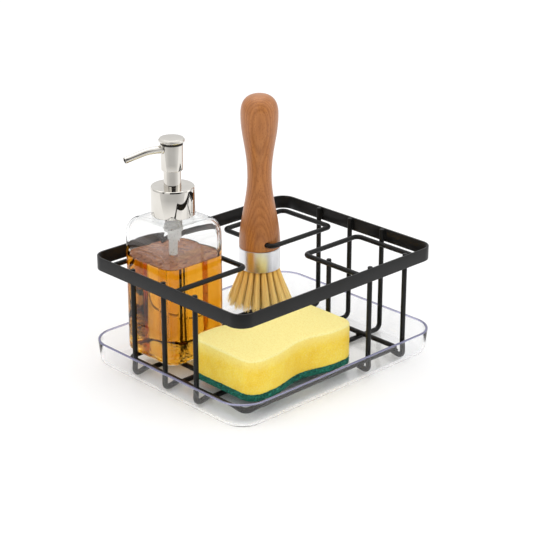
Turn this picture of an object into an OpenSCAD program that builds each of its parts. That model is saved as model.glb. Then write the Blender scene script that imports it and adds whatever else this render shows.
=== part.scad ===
// Sink caddy: a clear drip tray, a black wire basket standing in it, a square glass soap
// bottle with a press pump, a dish brush hung on a wire loop, and a scouring sponge.
// Millimetres, +Z up. The origin is on the table under the middle of the tray.
// X runs along the long side, and the open front of the basket faces -Y.

/* [Tray] */
// How far the tray's rim stands outside the rim band, on each side
tray_margin = 5; // [3:0.5:10]
// Height of the tray
tray_h = 24.5; // [20:0.5:34]
// Thickness of the tray's wall
tray_wall = 2.4; // [1.8:0.1:2.6]
// Thickness of the tray's floor
tray_floor = 2; // [1.6:0.1:3]
// Corner radius of the tray's rim, seen from above
tray_corner_r = 26; // [22:1:36]
// How far the wall leans outwards from foot to rim
tray_draft = 2.5; // [1:0.25:3.5]
// Radius of the tray's lower edge
tray_foot_r = 8; // [6:0.5:10]

/* [Basket] */
// Outer length of the rim band
rim_l = 240; // [230:1:280]
// Outer width of the rim band
rim_w = 197; // [192:1:230]
// Height of the rim band's top edge above the table
rim_top = 105; // [98:1:125]
// Height of the rim band
rim_h = 12.5; // [9:0.5:16]
// Thickness of the rim band
rim_t = 2; // [1.6:0.1:2.6]
// Outer corner radius of the rim band
rim_corner_r = 14; // [10:1:20]
// Diameter of every wire
wire_d = 4.6; // [3.8:0.1:5]
// Bend radius at the foot of the wires, to the middle of the wire
foot_bend_r = 5.5; // [4.5:0.25:7]
// How far the wires' tops stay below the band's top edge
wire_top_drop = 0; // [0:0.25:3]
// Distance between neighbouring floor wires
floor_pitch = 41; // [38:1:43]
// Distance from the basket's middle to its middle floor wire
floor_shift = 3.8; // [2:0.2:6]
// Base ring, in from the band's left end
ring_left_in = 16.5; // [13.5:0.5:22]
// Base ring, in from the band's right end
ring_right_in = 33; // [28:1:38]
// Base ring, in from the band's front
ring_front_in = 12.6; // [12:0.1:16]
// Base ring, in from the band's back
ring_back_in = 30.5; // [24:0.5:34]
// Bend radius of the base ring's corners
ring_bend_r = 6; // [5:0.5:9]
// Length of a leg's tail past the base ring
leg_tail = 4; // [3:0.5:8]
// Gap left at each weld
weld_gap = 0.05; // [0.02:0.01:0.1]

/* [Loops] */
// Height of the loops' wire above the band's lower edge, below it when negative
loop_lift = -0.5; // [-3:0.25:2]
// Bend radius of the loops' corners, to the middle of the wire
loop_bend_r = 5.5; // [4.5:0.25:6.5]
// Length of the bottle's loop, middle to middle of the wire
bottle_loop_l = 91.5; // [88:0.5:98]
// Width of the bottle's loop
bottle_loop_w = 85.5; // [80:0.5:88]
// Distance from the bottle's loop to the brush's loop, along the back
loop_to_loop = 52.1; // [50:0.1:64]
// Width of the brush's loop
brush_loop_w = 65; // [60:0.5:70]
// Distance from the brush's loop to the side loop, along the right end
aisle_w = 35.1; // [30:0.1:44]
// Distance from the right end of the side loops to the right legs
leg_from_side = 27; // [20:0.5:36]

/* [Bottle] */
// Width of the square bottle
bottle_w = 68; // [60:1:72]
// Height from the bottle's foot to the top of its shoulder
bottle_h = 127.5; // [110:0.5:150]
// Radius of the bottle's upright edges
bottle_edge_r = 13; // [9:0.5:18]
// Radius of the edge round the bottle's foot
bottle_foot_r = 4; // [2:0.5:6]
// Height of the rounded shoulder
shoulder_h = 16; // [10:0.5:22]
// Distance from the bottle to the left wire of its loop
bottle_left_gap = 11.4; // [4:0.1:14]
// Distance from the bottle to the back wire of its loop
bottle_back_gap = 2.8; // [2:0.1:10]
// Thickness of the glass wall
glass_t = 2.6; // [2:0.1:4]
// Thickness of the glass base
glass_base_t = 9; // [5:0.5:14]
// Outer radius of the neck
neck_r = 13.2; // [13:0.1:13.6]
// Radius of the neck's bore
neck_bore_r = 10.2; // [10:0.1:11]
// Height of the neck
neck_h = 21; // [16:0.5:24]
// Share of the bottle's height above its base that is full of soap
soap_share = 0.695; // [0.3:0.005:0.78]

/* [Pump] */
// Outer radius of the metal collar
collar_r = 19.7; // [19:0.1:24]
// Height of the metal collar
collar_h = 26; // [22:0.5:27]
// Thickness of the collar's metal
collar_t = 1; // [0.6:0.1:1.4]
// Thickness of the threaded liner's web
liner_web_t = 3.6; // [2:0.1:5]
// Thickness of the neck gasket
gasket_t = 1; // [0.6:0.1:1.6]
// Thickness of the pump's flanges
flange_t = 1.2; // [0.8:0.1:2]
// Outer radius of the guide neck that the head slides over
guide_r = 7.8; // [7.6:0.1:8.2]
// Height of the guide neck above the collar
guide_h = 18; // [17.5:0.5:18.5]
// Outer radius of the pump head
head_r = 10; // [9.8:0.1:12]
// Height of the pump head
head_h = 24; // [23.5:0.5:28]
// How far the head is pressed down
press_travel = 12; // [11:0.5:13]
// Gap left between the collar and the head when it is pressed down
press_stop_gap = 3; // [2.5:0.25:3.5]
// Radius of the disc on top of the head
cap_r = 11.7; // [11:0.1:14]
// Height of the disc on top of the head
cap_h = 4.3; // [3:0.1:6]
// Reach of the spout from the pump's axis
spout_reach = 45; // [38:1:56]
// Radius of the spout at the head
spout_root_r = 3.5; // [3:0.1:3.6]
// Radius of the spout at its mouth
spout_tip_r = 2.9; // [2.5:0.1:3.2]
// Radius of the spout's bore
spout_bore_r = 1.9; // [1.2:0.1:2.2]
// Downward bend of the spout, degrees
spout_bend = 13; // [5:1:30]
// Direction of the spout about the pump's axis, degrees from +X
spout_turn = 165; // [90:1:270]
// Radius of the stem
stem_r = 3.5; // [3.3:0.1:3.6]
// Outer radius of the pump housing's barrel
barrel_r = 7.6; // [7:0.1:8]
// Length of the housing's barrel below the collar
barrel_drop = 15; // [12:0.5:18]
// Length of the housing's narrow tail below the barrel
tail_drop = 25; // [22:0.5:28]
// Outer radius of the dip tube
dip_r = 3.1; // [2.6:0.1:3.2]
// Height of the dip tube's mouth above the inside of the base
dip_clear = 4; // [3:0.5:10]
// Number of coils in the return spring
spring_coils = 10; // [6:1:12]
// Diameter of the spring's wire
spring_d = 0.8; // [0.6:0.1:1]

/* [Brush] */
// Length of the wooden handle
handle_l = 147; // [130:1:165]
// Radius of the handle at its foot
handle_foot_r = 19.4; // [18.5:0.1:20]
// Radius of the handle's waist
handle_waist_r = 11.4; // [9:0.1:13]
// Radius of the handle's knob
handle_knob_r = 17.5; // [14:0.25:19]
// Height of the hanging hole above the handle's foot
hole_up = 7; // [6:0.5:12]
// Distance from the hanging hole to the handle's axis
hole_off = 7; // [5:0.5:9]
// Clearance of the wire in the hanging hole
hole_gap = 0.4; // [0.2:0.05:0.6]
// Height of the metal ferrule
ferrule_h = 20.5; // [16:0.5:24]
// Thickness of the ferrule's metal
ferrule_t = 0.8; // [0.5:0.1:1.2]
// Length of the handle's tenon inside the ferrule
tenon_h = 7; // [4:0.5:9]
// Free length of the bristles
bristle_l = 37; // [25:1:40]
// Radius of the circle that the outer tufts reach at their tips
bristle_tip_r = 27.5; // [22:0.5:29]
// Side length of one strand
strand_w = 0.7; // [0.6:0.05:0.8]

/* [Sponge] */
// Length of the sponge
sponge_l = 127; // [100:1:130]
// Share of the basket's spare length that lies at the sponge's left end
sponge_end_share = 0.23; // [0.1:0.01:0.35]
// Distance from the sponge to the front of the rim band
sponge_front_gap = 12.75; // [6:0.25:24]
// Height of the sponge with its pad
sponge_h = 39; // [25:1:45]
// Thickness of the scouring pad
pad_h = 6.5; // [4:0.5:10]
// Depth of the waist on each long side
sponge_waist = 7; // [0:0.5:10]
// Radius of the sponge's corners
sponge_corner_r = 14; // [8:1:20]

/* [Hidden] */

$fn = 64;
// Overrun of every cut past the face that it opens
cut = 1;
// Air between a piece and what it stands on
rest_gap = 0.25;
// Air between pieces that turn or slide in each other
run_gap = 0.05;

// Tray
tray_l = rim_l + 2 * tray_margin;
tray_w = rim_w + 2 * tray_margin;
tray_lip_r = tray_wall / 3;
foot_steps = 6;
lip_steps = 3;

// Basket wires
wire_r = wire_d / 2;
wire_top = rim_top - wire_top_drop;
rim_foot = rim_top - rim_h;
side_x = rim_l / 2 - rim_t - weld_gap - wire_r;
side_y = rim_w / 2 - rim_t - weld_gap - wire_r;
run_z = tray_floor + rest_gap + wire_r;
ring_z = run_z + wire_d + weld_gap;
goods_z = ring_z + wire_r + rest_gap;
floor_y = [floor_shift + floor_pitch, floor_shift, floor_shift - floor_pitch];
ring_x = [ring_left_in - rim_l / 2, rim_l / 2 - ring_right_in];
ring_y = [ring_front_in - rim_w / 2, rim_w / 2 - ring_back_in];

// Sponge, in the front left of the basket
sponge_side_gap = 5.2;
sponge_back_gap = 6;
spare_l = rim_l - 2 * rim_t - 3 * weld_gap - 4 * wire_d - sponge_side_gap - sponge_l;
sponge_end_gap = sponge_end_share * spare_l;
sponge_x = sponge_end_gap + wire_r - side_x + sponge_l / 2;

// Loops lie against the inner side of the upright wires
loop_z = rim_foot + loop_lift;
loop_end_x = side_x - wire_d - weld_gap;
loop_end_y = side_y - wire_d - weld_gap;
bottle_loop_x = [-loop_end_x, bottle_loop_l - loop_end_x];
bottle_loop_y = [loop_end_y - bottle_loop_w, loop_end_y];
brush_loop_x = [bottle_loop_x[1] + loop_to_loop, loop_end_x];
brush_loop_y = [loop_end_y - brush_loop_w, loop_end_y];
side_loop_x = [sponge_x + sponge_l / 2 + sponge_side_gap + wire_r, loop_end_x];
side_loop_y = [-loop_end_y, brush_loop_y[0] - aisle_w];

// Bottle, in the back left of its loop
bottle_x = bottle_loop_x[0] + wire_r + bottle_left_gap + bottle_w / 2;
bottle_y = bottle_loop_y[1] - wire_r - bottle_back_gap - bottle_w / 2;
shoulder_top = goods_z + bottle_h;
neck_top = shoulder_top + neck_h;
inside_z = goods_z + glass_base_t;
soap_h = soap_share * (bottle_h - glass_base_t);
soap_gap = 0.1;
bead_r = 0.7;
bead_pitch = 3.2;
bead_count = 3;
shoulder_steps = 10;
edge_steps = 5;

// Legs and cross wires
outer_leg_x = loop_end_x - leg_from_side;
inner_leg_x = side_loop_x[0] - wire_r - weld_gap;
back_leg_share = 0.34;
back_leg_x = bottle_x + back_leg_share * bottle_w;
cross_share = 0.22;
cross_right_share = 0.3;
post_x = side_loop_x[0] + wire_d + weld_gap;

// Pump, from the neck upwards
flange_z = neck_top + gasket_t;
web_z = flange_z + flange_t;
guide_z = web_z + liner_web_t;
plate_z = guide_z + flange_t;
collar_top = plate_z + collar_t;
collar_foot = collar_top - collar_h;
guide_top = collar_top + guide_h;
guide_t = 0.9;
guide_flange_r = 12;
liner_t = 2.3;
liner_rib_w = 1.5;
liner_ribs = 12;
liner_bore_r = neck_r + bead_r + 0.3 * bead_r;
web_hole_r = guide_r + rest_gap;
head_gap = press_travel + press_stop_gap;
head_foot = collar_top + head_gap;
head_top = head_foot + head_h;
head_wall_t = 1.6;
head_taper = 0.15;
head_slide_gap = head_r - head_wall_t - guide_r;
spout_z = head_top - spout_root_r - 0.4 * spout_bore_r;
socket_z = spout_z - spout_root_r - run_gap;
stem_top = socket_z + spout_root_r / 2;
boss_r = stem_r + head_wall_t;
spout_start = head_r * 0.6;
spout_lap = 1.5;
cap_groove = 0.7;
cap_spigot_r = head_r * 0.86;
cap_chamfer = 1.3;

// Pump, from the neck downwards
barrel_foot = collar_foot - barrel_drop;
tail_foot = barrel_foot - tail_drop;
barrel_t = 1.6;
bore_r = barrel_r - barrel_t;
chest_r = barrel_r + 0.7 * barrel_t;
plug_r = bore_r + 0.7 * barrel_t;
plug_l = 6;
chest_foot = collar_foot + plug_l;
tail_t = 0.8;
tail_r = dip_r + 1.8;
tail_bore_r = tail_r - tail_t;
tail_shoulder_r = (tail_r + barrel_r) / 2;
tail_shoulder_h = 8;
socket_depth = 8;
seat_t = 2;
seat_z = tail_foot + socket_depth + seat_t;
seat_hole_r = 1.4;
ball_r = 2.1;
piston_h = 6;
piston_lip_h = 1.5;
piston_top = web_z - plug_l - run_gap;
piston_foot = piston_top - piston_h;
spigot_r = 2.2;
spigot_l = 8;
stem_bore_r = 1.5;
dip_t = 0.9;
dip_foot = inside_z + dip_clear;
dip_top = seat_z - seat_t - run_gap;
housing_flange_r = neck_r - run_gap;
spring_r = (spigot_r + tail_bore_r) / 2;
spring_rings = 8;
spring_sides = 6;
spring_foot = seat_z + spring_d / 2 + run_gap;
spring_head = piston_foot - spring_d / 2 - run_gap;

// Brush, hung on the loop's left wire
brush_x = brush_loop_x[0] + hole_off;
brush_gap = 1.6;
brush_y = brush_loop_y[0] + wire_r + brush_gap + handle_foot_r;
handle_foot = loop_z - hole_up;
hole_r = wire_r + hole_gap;
ferrule_r = handle_foot_r;
ferrule_foot = handle_foot - ferrule_h;
plug_fit_r = ferrule_r - ferrule_t - run_gap;
backing_t = 1.5;
ferrule_fold = 0.7;
waist_share = 0.472;
knob_share = 0.868;
knob_flat_share = 0.78;
foot_share = 0.02;
profile_steps = 16;
tuft_rings = 3;
tuft_inner = 3;
tuft_outer = 8;
tuft_ring_gap = plug_fit_r / 3.55;
tuft_r = tuft_ring_gap * 0.37;
tuft_tip_share = 0.43;

// Sponge, from the band's front to the bottle's loop
sponge_y0 = rim_t + sponge_front_gap - rim_w / 2;
sponge_y1 = bottle_loop_y[0] - wire_r - sponge_back_gap;
sponge_w = sponge_y1 - sponge_y0;
sponge_y = (sponge_y0 + sponge_y1) / 2;
cross_right_x = sponge_x + cross_right_share * sponge_l;
waist_span_share = 0.62;
sponge_steps = 24;

// A straight wire from one height to another
module upright(x, y, z0, z1) {
    translate([x, y, z0]) cylinder(r = wire_r, h = z1 - z0);
}

// A straight wire along X
module along_x(x0, x1, y, z) {
    translate([x0, y, z]) rotate([0, 90, 0]) cylinder(r = wire_r, h = x1 - x0);
}

// A straight wire along Y
module along_y(x, y0, y1, z) {
    translate([x, y0, z]) rotate([-90, 0, 0]) cylinder(r = wire_r, h = y1 - y0);
}

// A quarter bend in the XY plane, from angle a on, about its own centre
module bend(radius, a) {
    rotate([0, 0, a]) rotate_extrude(angle = 90) translate([radius, 0]) circle(r = wire_r);
}

// A closed rectangle of wire, sizes to the middle of the wire
module wire_rectangle(x, y, z, radius) {
    along_x(x[0] + radius, x[1] - radius, y[0], z);
    along_x(x[0] + radius, x[1] - radius, y[1], z);
    along_y(x[0], y[0] + radius, y[1] - radius, z);
    along_y(x[1], y[0] + radius, y[1] - radius, z);
    translate([x[1] - radius, y[1] - radius, z]) bend(radius, 0);
    translate([x[0] + radius, y[1] - radius, z]) bend(radius, 90);
    translate([x[0] + radius, y[0] + radius, z]) bend(radius, 180);
    translate([x[1] - radius, y[0] + radius, z]) bend(radius, 270);
}

// An upright with the bend at its foot, standing at a distance along X
module hook(reach) {
    upright(reach, 0, run_z + foot_bend_r, wire_top);
    translate([reach - foot_bend_r, 0, run_z + foot_bend_r]) rotate([90, 0, 0]) bend(foot_bend_r, 270);
}

// A wire that runs across the floor and up both ends
module floor_wire(y) {
    translate([0, y, 0]) {
        hook(side_x);
        mirror([1, 0, 0]) hook(side_x);
        along_x(foot_bend_r - side_x, side_x - foot_bend_r, 0, run_z);
    }
}

// A leg on the band's front, whose foot bends in under the base ring
module leg(x, ring_line) {
    translate([x, 0, 0]) rotate([0, 0, -90]) {
        hook(side_y);
        along_x(-ring_line - leg_tail, side_y - foot_bend_r, 0, run_z);
    }
}

// A wire between the base ring's back and a place in front of it
module cross_wire(x, y0) {
    along_y(x, y0, ring_y[1] - wire_r - weld_gap, ring_z);
}

// A rounded rectangle built from squares and circles
module round_rectangle(l, w, r) {
    square([l - 2 * r, w], center = true);
    square([l, w - 2 * r], center = true);
    for (sx = [-1, 1], sy = [-1, 1]) {
        translate([sx * (l / 2 - r), sy * (w / 2 - r)]) circle(r = r);
    }
}

// A section swept round a rectangle, measured outwards from the middles of its corners
module swept(section, core_x, core_y) {
    for (sx = [0, 1], sy = [0, 1]) {
        mirror([sx, 0, 0]) mirror([0, sy, 0]) translate([core_x, core_y, 0])
            rotate_extrude(angle = 90) polygon(section);
    }
    for (s = [0, 1]) {
        mirror([s, 0, 0]) translate([core_x, core_y, 0]) rotate([90, 0, 0])
            linear_extrude(2 * core_y) polygon(section);
        mirror([0, s, 0]) rotate([0, 0, 90]) translate([core_y, core_x, 0]) rotate([90, 0, 0])
            linear_extrude(2 * core_x) polygon(section);
    }
}

// The plate that closes such a sweep in its middle
module core_plate(core_x, core_y, z, h) {
    translate([-core_x, -core_y, z]) cube([2 * core_x, 2 * core_y, h]);
}

// Points of a quarter of an ellipse, from angle a on
function arc(cx, cz, rx, rz, a, steps) = [
    for (i = [0 : abs(steps)]) let (t = a + 90 * i / steps) [cx + rx * cos(t), cz + rz * sin(t)]
];

function tray_wall_u(z) = tray_corner_r - tray_draft * (1 - z / tray_h);
function tray_section() = let (
    c = tray_wall_u(tray_foot_r) - tray_foot_r,
    inner_r = tray_foot_r - tray_floor,
    inner_c = tray_wall_u(tray_foot_r) - tray_wall - inner_r,
    lip_z = tray_h - tray_lip_r
) concat(
    [[0, 0]],
    arc(c, tray_foot_r, tray_foot_r, tray_foot_r, 270, foot_steps),
    arc(tray_corner_r - tray_lip_r, lip_z, tray_lip_r, tray_lip_r, 0, lip_steps),
    arc(tray_corner_r - tray_wall + tray_lip_r, lip_z, tray_lip_r, tray_lip_r, 90, lip_steps),
    arc(inner_c, tray_foot_r, inner_r, inner_r, 360, -foot_steps),
    [[0, tray_floor]]
);

module drip_tray() {
    core_x = tray_l / 2 - tray_corner_r;
    core_y = tray_w / 2 - tray_corner_r;
    color([0.85, 0.88, 0.95, 0.4]) {
        swept(tray_section(), core_x, core_y);
        core_plate(core_x, core_y, 0, tray_floor);
    }
}

module rim_band() {
    color([0.12, 0.12, 0.12]) translate([0, 0, rim_foot]) difference() {
        linear_extrude(rim_h) round_rectangle(rim_l, rim_w, rim_corner_r);
        translate([0, 0, -cut]) linear_extrude(rim_h + 2 * cut)
            round_rectangle(rim_l - 2 * rim_t, rim_w - 2 * rim_t, rim_corner_r - rim_t);
    }
}

module floor_wire_back() {
    color([0.1, 0.1, 0.1]) floor_wire(floor_y[0]);
}

module floor_wire_middle() {
    color([0.1, 0.1, 0.1]) floor_wire(floor_y[1]);
}

module floor_wire_front() {
    color([0.1, 0.1, 0.1]) floor_wire(floor_y[2]);
}

module base_ring() {
    color([0.1, 0.1, 0.1]) wire_rectangle(ring_x, ring_y, ring_z, ring_bend_r);
}

module cross_wire_left() {
    color([0.1, 0.1, 0.1]) cross_wire(bottle_x - cross_share * bottle_w, ring_y[0] + wire_r + weld_gap);
}

module cross_wire_middle() {
    color([0.1, 0.1, 0.1]) cross_wire(bottle_x + cross_share * bottle_w, floor_y[2] - wire_d);
}

module cross_wire_right() {
    color([0.1, 0.1, 0.1]) cross_wire(cross_right_x, ring_y[0] + wire_r + weld_gap);
}

module front_leg_inner() {
    color([0.1, 0.1, 0.1]) leg(inner_leg_x, ring_y[0]);
}

module front_leg_outer() {
    color([0.1, 0.1, 0.1]) leg(outer_leg_x, ring_y[0]);
}

module back_leg_inner() {
    color([0.1, 0.1, 0.1]) mirror([0, 1, 0]) leg(back_leg_x, -ring_y[1]);
}

module back_leg_outer() {
    color([0.1, 0.1, 0.1]) mirror([0, 1, 0]) leg(outer_leg_x, -ring_y[1]);
}

module divider_post() {
    color([0.1, 0.1, 0.1]) upright(post_x, floor_y[2], run_z + wire_r + weld_gap, loop_z + wire_r);
}

module bottle_loop() {
    color([0.1, 0.1, 0.1]) wire_rectangle(bottle_loop_x, bottle_loop_y, loop_z, loop_bend_r);
}

module brush_loop() {
    color([0.1, 0.1, 0.1]) wire_rectangle(brush_loop_x, brush_loop_y, loop_z, loop_bend_r);
}

module side_loop() {
    color([0.1, 0.1, 0.1]) wire_rectangle(side_loop_x, side_loop_y, loop_z, loop_bend_r);
}

// The bottle's wall, from the middle of an upright edge outwards
bottle_core = bottle_w / 2 - bottle_edge_r;
inner_edge_r = bottle_edge_r - glass_t;
inner_foot_r = bottle_foot_r * 0.75;
shoulder_z = bottle_h - shoulder_h;
function bottle_section() = concat(
    [[0, 0]],
    arc(bottle_edge_r - bottle_foot_r, bottle_foot_r, bottle_foot_r, bottle_foot_r, 270, edge_steps),
    arc(0, shoulder_z, bottle_edge_r, shoulder_h, 0, shoulder_steps),
    arc(0, shoulder_z, inner_edge_r, shoulder_h - glass_t, 90, -shoulder_steps),
    arc(inner_edge_r - inner_foot_r, glass_base_t + inner_foot_r, inner_foot_r, inner_foot_r,
        0, -edge_steps),
    [[0, glass_base_t]]
);

module glass_bottle() {
    color([0.8, 0.85, 0.85, 0.35]) translate([bottle_x, bottle_y, goods_z]) difference() {
        union() {
            swept(bottle_section(), bottle_core, bottle_core);
            core_plate(bottle_core, bottle_core, 0, glass_base_t);
            core_plate(bottle_core, bottle_core, bottle_h - glass_t, glass_t);
            translate([0, 0, bottle_h - glass_t]) cylinder(r = neck_r, h = neck_h + glass_t);
            for (i = [1 : bead_count]) {
                translate([0, 0, bottle_h + neck_h - i * bead_pitch]) rotate_extrude()
                    translate([neck_r, 0]) circle(r = bead_r, $fn = 16);
            }
        }
        translate([0, 0, bottle_h - 2 * glass_t]) cylinder(r = neck_bore_r, h = neck_h + 3 * glass_t);
    }
}

// The soap's section, a hair inside the glass
function soap_section() = let (edge = inner_edge_r - soap_gap) concat(
    [[0, 0]],
    arc(edge - inner_foot_r, inner_foot_r, inner_foot_r, inner_foot_r, 270, edge_steps),
    [[edge, soap_h - soap_gap], [0, soap_h - soap_gap]]
);

module soap_fill() {
    color([0.85, 0.5, 0.1, 0.7]) translate([bottle_x, bottle_y, 0]) difference() {
        translate([0, 0, inside_z + soap_gap]) union() {
            swept(soap_section(), bottle_core, bottle_core);
            core_plate(bottle_core, bottle_core, 0, soap_h - soap_gap);
        }
        translate([0, 0, dip_foot - rest_gap]) cylinder(r = dip_r + rest_gap, h = soap_h);
        translate([0, 0, tail_foot - rest_gap]) cylinder(r = tail_r + rest_gap, h = soap_h);
    }
}

module neck_gasket() {
    color([0.9, 0.9, 0.88]) translate([bottle_x, bottle_y, neck_top + run_gap]) difference() {
        cylinder(r = housing_flange_r, h = gasket_t - run_gap);
        translate([0, 0, -cut]) cylinder(r = neck_bore_r, h = gasket_t + 2 * cut);
    }
}

module pump_housing() {
    color([0.93, 0.93, 0.92, 0.8]) translate([bottle_x, bottle_y, 0]) difference() {
        union() {
            translate([0, 0, flange_z]) cylinder(r = housing_flange_r, h = flange_t);
            translate([0, 0, chest_foot]) cylinder(r = chest_r, h = flange_z - chest_foot);
            translate([0, 0, barrel_foot]) cylinder(r = barrel_r, h = chest_foot - barrel_foot);
            translate([0, 0, barrel_foot - tail_shoulder_h])
                cylinder(r = tail_shoulder_r, h = tail_shoulder_h);
            translate([0, 0, tail_foot]) cylinder(r = tail_r, h = tail_drop);
        }
        translate([0, 0, web_z - plug_l]) cylinder(r = plug_r, h = plug_l + cut);
        translate([0, 0, barrel_foot]) cylinder(r = bore_r, h = web_z - barrel_foot);
        translate([0, 0, seat_z]) cylinder(r = tail_bore_r, h = barrel_foot - seat_z + cut);
        translate([0, 0, tail_foot]) cylinder(r = seat_hole_r, h = tail_drop);
        translate([0, 0, tail_foot - cut]) cylinder(r = dip_r + run_gap, h = socket_depth + cut);
    }
}

module stem_guide() {
    color([0.9, 0.9, 0.9]) translate([bottle_x, bottle_y, 0]) difference() {
        union() {
            translate([0, 0, web_z - plug_l + run_gap]) cylinder(r = plug_r - run_gap, h = plug_l - run_gap);
            translate([0, 0, web_z]) cylinder(r = guide_r - run_gap, h = flange_t);
            translate([0, 0, web_z]) cylinder(r = guide_r - 2 * guide_t, h = liner_web_t + flange_t);
        }
        translate([0, 0, web_z - plug_l - cut])
            cylinder(r = stem_r + run_gap, h = plug_l + liner_web_t + flange_t + 2 * cut);
    }
}

module inlet_ball() {
    lift = sqrt(ball_r * ball_r - seat_hole_r * seat_hole_r) + run_gap;
    color([0.75, 0.75, 0.78]) translate([bottle_x, bottle_y, seat_z + lift]) sphere(r = ball_r);
}

module dip_tube() {
    color([0.95, 0.95, 0.93, 0.7]) translate([bottle_x, bottle_y, dip_foot]) difference() {
        cylinder(r = dip_r, h = dip_top - dip_foot);
        translate([0, 0, -cut]) cylinder(r = dip_r - dip_t, h = dip_top - dip_foot + 2 * cut);
    }
}

// The spring's middle line, and the rings of points round it
function spring_at(t) = [
    spring_r * cos(360 * t),
    spring_r * sin(360 * t),
    spring_foot + (spring_head - spring_foot) * t / spring_coils
];
function spring_ring(t) = let (out = [cos(360 * t), sin(360 * t), 0]) [
    for (i = [0 : spring_sides - 1]) let (a = 360 * i / spring_sides)
        spring_at(t) + spring_d / 2 * (cos(a) * out + sin(a) * [0, 0, 1])
];

module return_spring() {
    rings = spring_coils * spring_rings;
    n = spring_sides;
    points = [for (k = [0 : rings]) each spring_ring(k / spring_rings)];
    sides = [for (k = [0 : rings - 1], i = [0 : n - 1])
        let (j = (i + 1) % n, a = k * n, b = a + n) each [[a + i, a + j, b + j], [a + i, b + j, b + i]]];
    start_face = [for (i = [1 : n - 2]) [0, i + 1, i]];
    end_face = [for (i = [1 : n - 2]) [rings * n, rings * n + i, rings * n + i + 1]];
    coil_gaps = [for (k = [0 : rings - spring_rings])
        norm(spring_at((k + spring_rings) / spring_rings) - spring_at(k / spring_rings)) - spring_d];
    echo(least_gap_between_spring_coils = min(coil_gaps));
    color([0.7, 0.7, 0.72]) translate([bottle_x, bottle_y, 0])
        polyhedron(points, concat(start_face, sides, end_face), convexity = 10);
}

module collar_liner() {
    skirt_h = web_z - collar_foot;
    inner_r = collar_r - collar_t - run_gap;
    color([0.85, 0.85, 0.83]) translate([bottle_x, bottle_y, collar_foot]) difference() {
        union() {
            cylinder(r = liner_bore_r + liner_t, h = skirt_h + liner_web_t);
            translate([0, 0, skirt_h]) cylinder(r = inner_r, h = liner_web_t);
            for (i = [1 : liner_ribs]) {
                rotate([0, 0, 360 * i / liner_ribs]) translate([liner_bore_r, -liner_rib_w / 2, 0])
                    cube([inner_r - liner_bore_r - liner_rib_w / 8, liner_rib_w, skirt_h + liner_rib_w]);
            }
        }
        translate([0, 0, -cut]) cylinder(r = liner_bore_r, h = skirt_h + cut);
        cylinder(r = web_hole_r, h = skirt_h + liner_web_t + cut);
    }
}

module collar_shell() {
    edge = collar_t * 0.8;
    wall = collar_r - collar_t;
    profile = [
        [guide_r + run_gap, collar_h - collar_t], [wall, collar_h - collar_t], [wall, 0],
        [collar_r - edge / 3, 0], [collar_r, edge / 3],
        [collar_r, collar_h - edge], [collar_r - edge * 0.3, collar_h - edge * 0.3],
        [collar_r - edge, collar_h], [guide_r + run_gap, collar_h]
    ];
    color([0.82, 0.8, 0.76]) translate([bottle_x, bottle_y, collar_foot])
        rotate_extrude($fn = 96) polygon(profile);
}

module guide_neck() {
    color([0.82, 0.8, 0.76]) translate([bottle_x, bottle_y, guide_z]) difference() {
        union() {
            cylinder(r = guide_r, h = guide_top - guide_z);
            cylinder(r = guide_flange_r, h = flange_t);
        }
        translate([0, 0, -cut]) cylinder(r = guide_r - guide_t, h = guide_top - guide_z + 2 * cut);
    }
}

module piston() {
    lip_r = bore_r - run_gap;
    waist_r = bore_r * 0.88;
    hole = spigot_r + run_gap;
    profile = [
        [hole, 0], [lip_r, 0], [lip_r, piston_lip_h], [waist_r, 1.4 * piston_lip_h],
        [waist_r, piston_h - 1.4 * piston_lip_h], [lip_r, piston_h - piston_lip_h],
        [lip_r, piston_h], [hole, piston_h]
    ];
    color([0.9, 0.9, 0.88]) translate([bottle_x, bottle_y, piston_foot]) rotate_extrude() polygon(profile);
}

module piston_stem() {
    color([0.88, 0.88, 0.88]) translate([bottle_x, bottle_y, 0]) difference() {
        union() {
            translate([0, 0, piston_top]) cylinder(r = stem_r, h = stem_top - piston_top);
            translate([0, 0, piston_top - spigot_l]) cylinder(r = spigot_r, h = spigot_l);
        }
        translate([0, 0, piston_top - spigot_l - cut])
            cylinder(r = stem_bore_r, h = stem_top - piston_top + spigot_l + 2 * cut);
    }
}

// Points away from the pump's axis, the way the spout does
module along_spout() {
    translate([bottle_x, bottle_y, spout_z]) rotate([0, 0, spout_turn]) children();
}

module pump_head() {
    ceiling = spout_z - spout_root_r - 2 * run_gap;
    color([0.82, 0.8, 0.76]) difference() {
        translate([bottle_x, bottle_y, 0]) difference() {
            translate([0, 0, head_foot])
                cylinder(r1 = head_r - head_taper, r2 = head_r, h = head_h, $fn = 96);
            difference() {
                translate([0, 0, head_foot - cut])
                    cylinder(r = guide_r + head_slide_gap, h = ceiling - head_foot + cut);
                translate([0, 0, head_foot + head_gap / 3]) cylinder(r = boss_r, h = head_h);
            }
            translate([0, 0, head_foot]) cylinder(r = stem_r + run_gap, h = stem_top + run_gap - head_foot);
            translate([0, 0, stem_top]) cylinder(r = stem_bore_r, h = spout_z - stem_top);
        }
        along_spout() rotate([0, 90, 0]) cylinder(r = spout_bore_r, h = spout_start + cut);
        along_spout() translate([spout_start, 0, 0]) rotate([0, 90, 0])
            cylinder(r = spout_root_r + run_gap, h = head_r);
    }
}

module head_cap() {
    profile = [
        [0, 0], [cap_spigot_r, 0], [cap_spigot_r, cap_groove],
        [cap_r - cap_chamfer, cap_groove], [cap_r, cap_groove + cap_chamfer],
        [cap_r, cap_groove + cap_h - cap_chamfer],
        [cap_r - cap_chamfer * 0.3, cap_groove + cap_h - cap_chamfer * 0.3],
        [cap_r - cap_chamfer, cap_groove + cap_h], [0, cap_groove + cap_h]
    ];
    color([0.84, 0.82, 0.78]) translate([bottle_x, bottle_y, head_top])
        rotate_extrude($fn = 96) polygon(profile);
}

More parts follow.
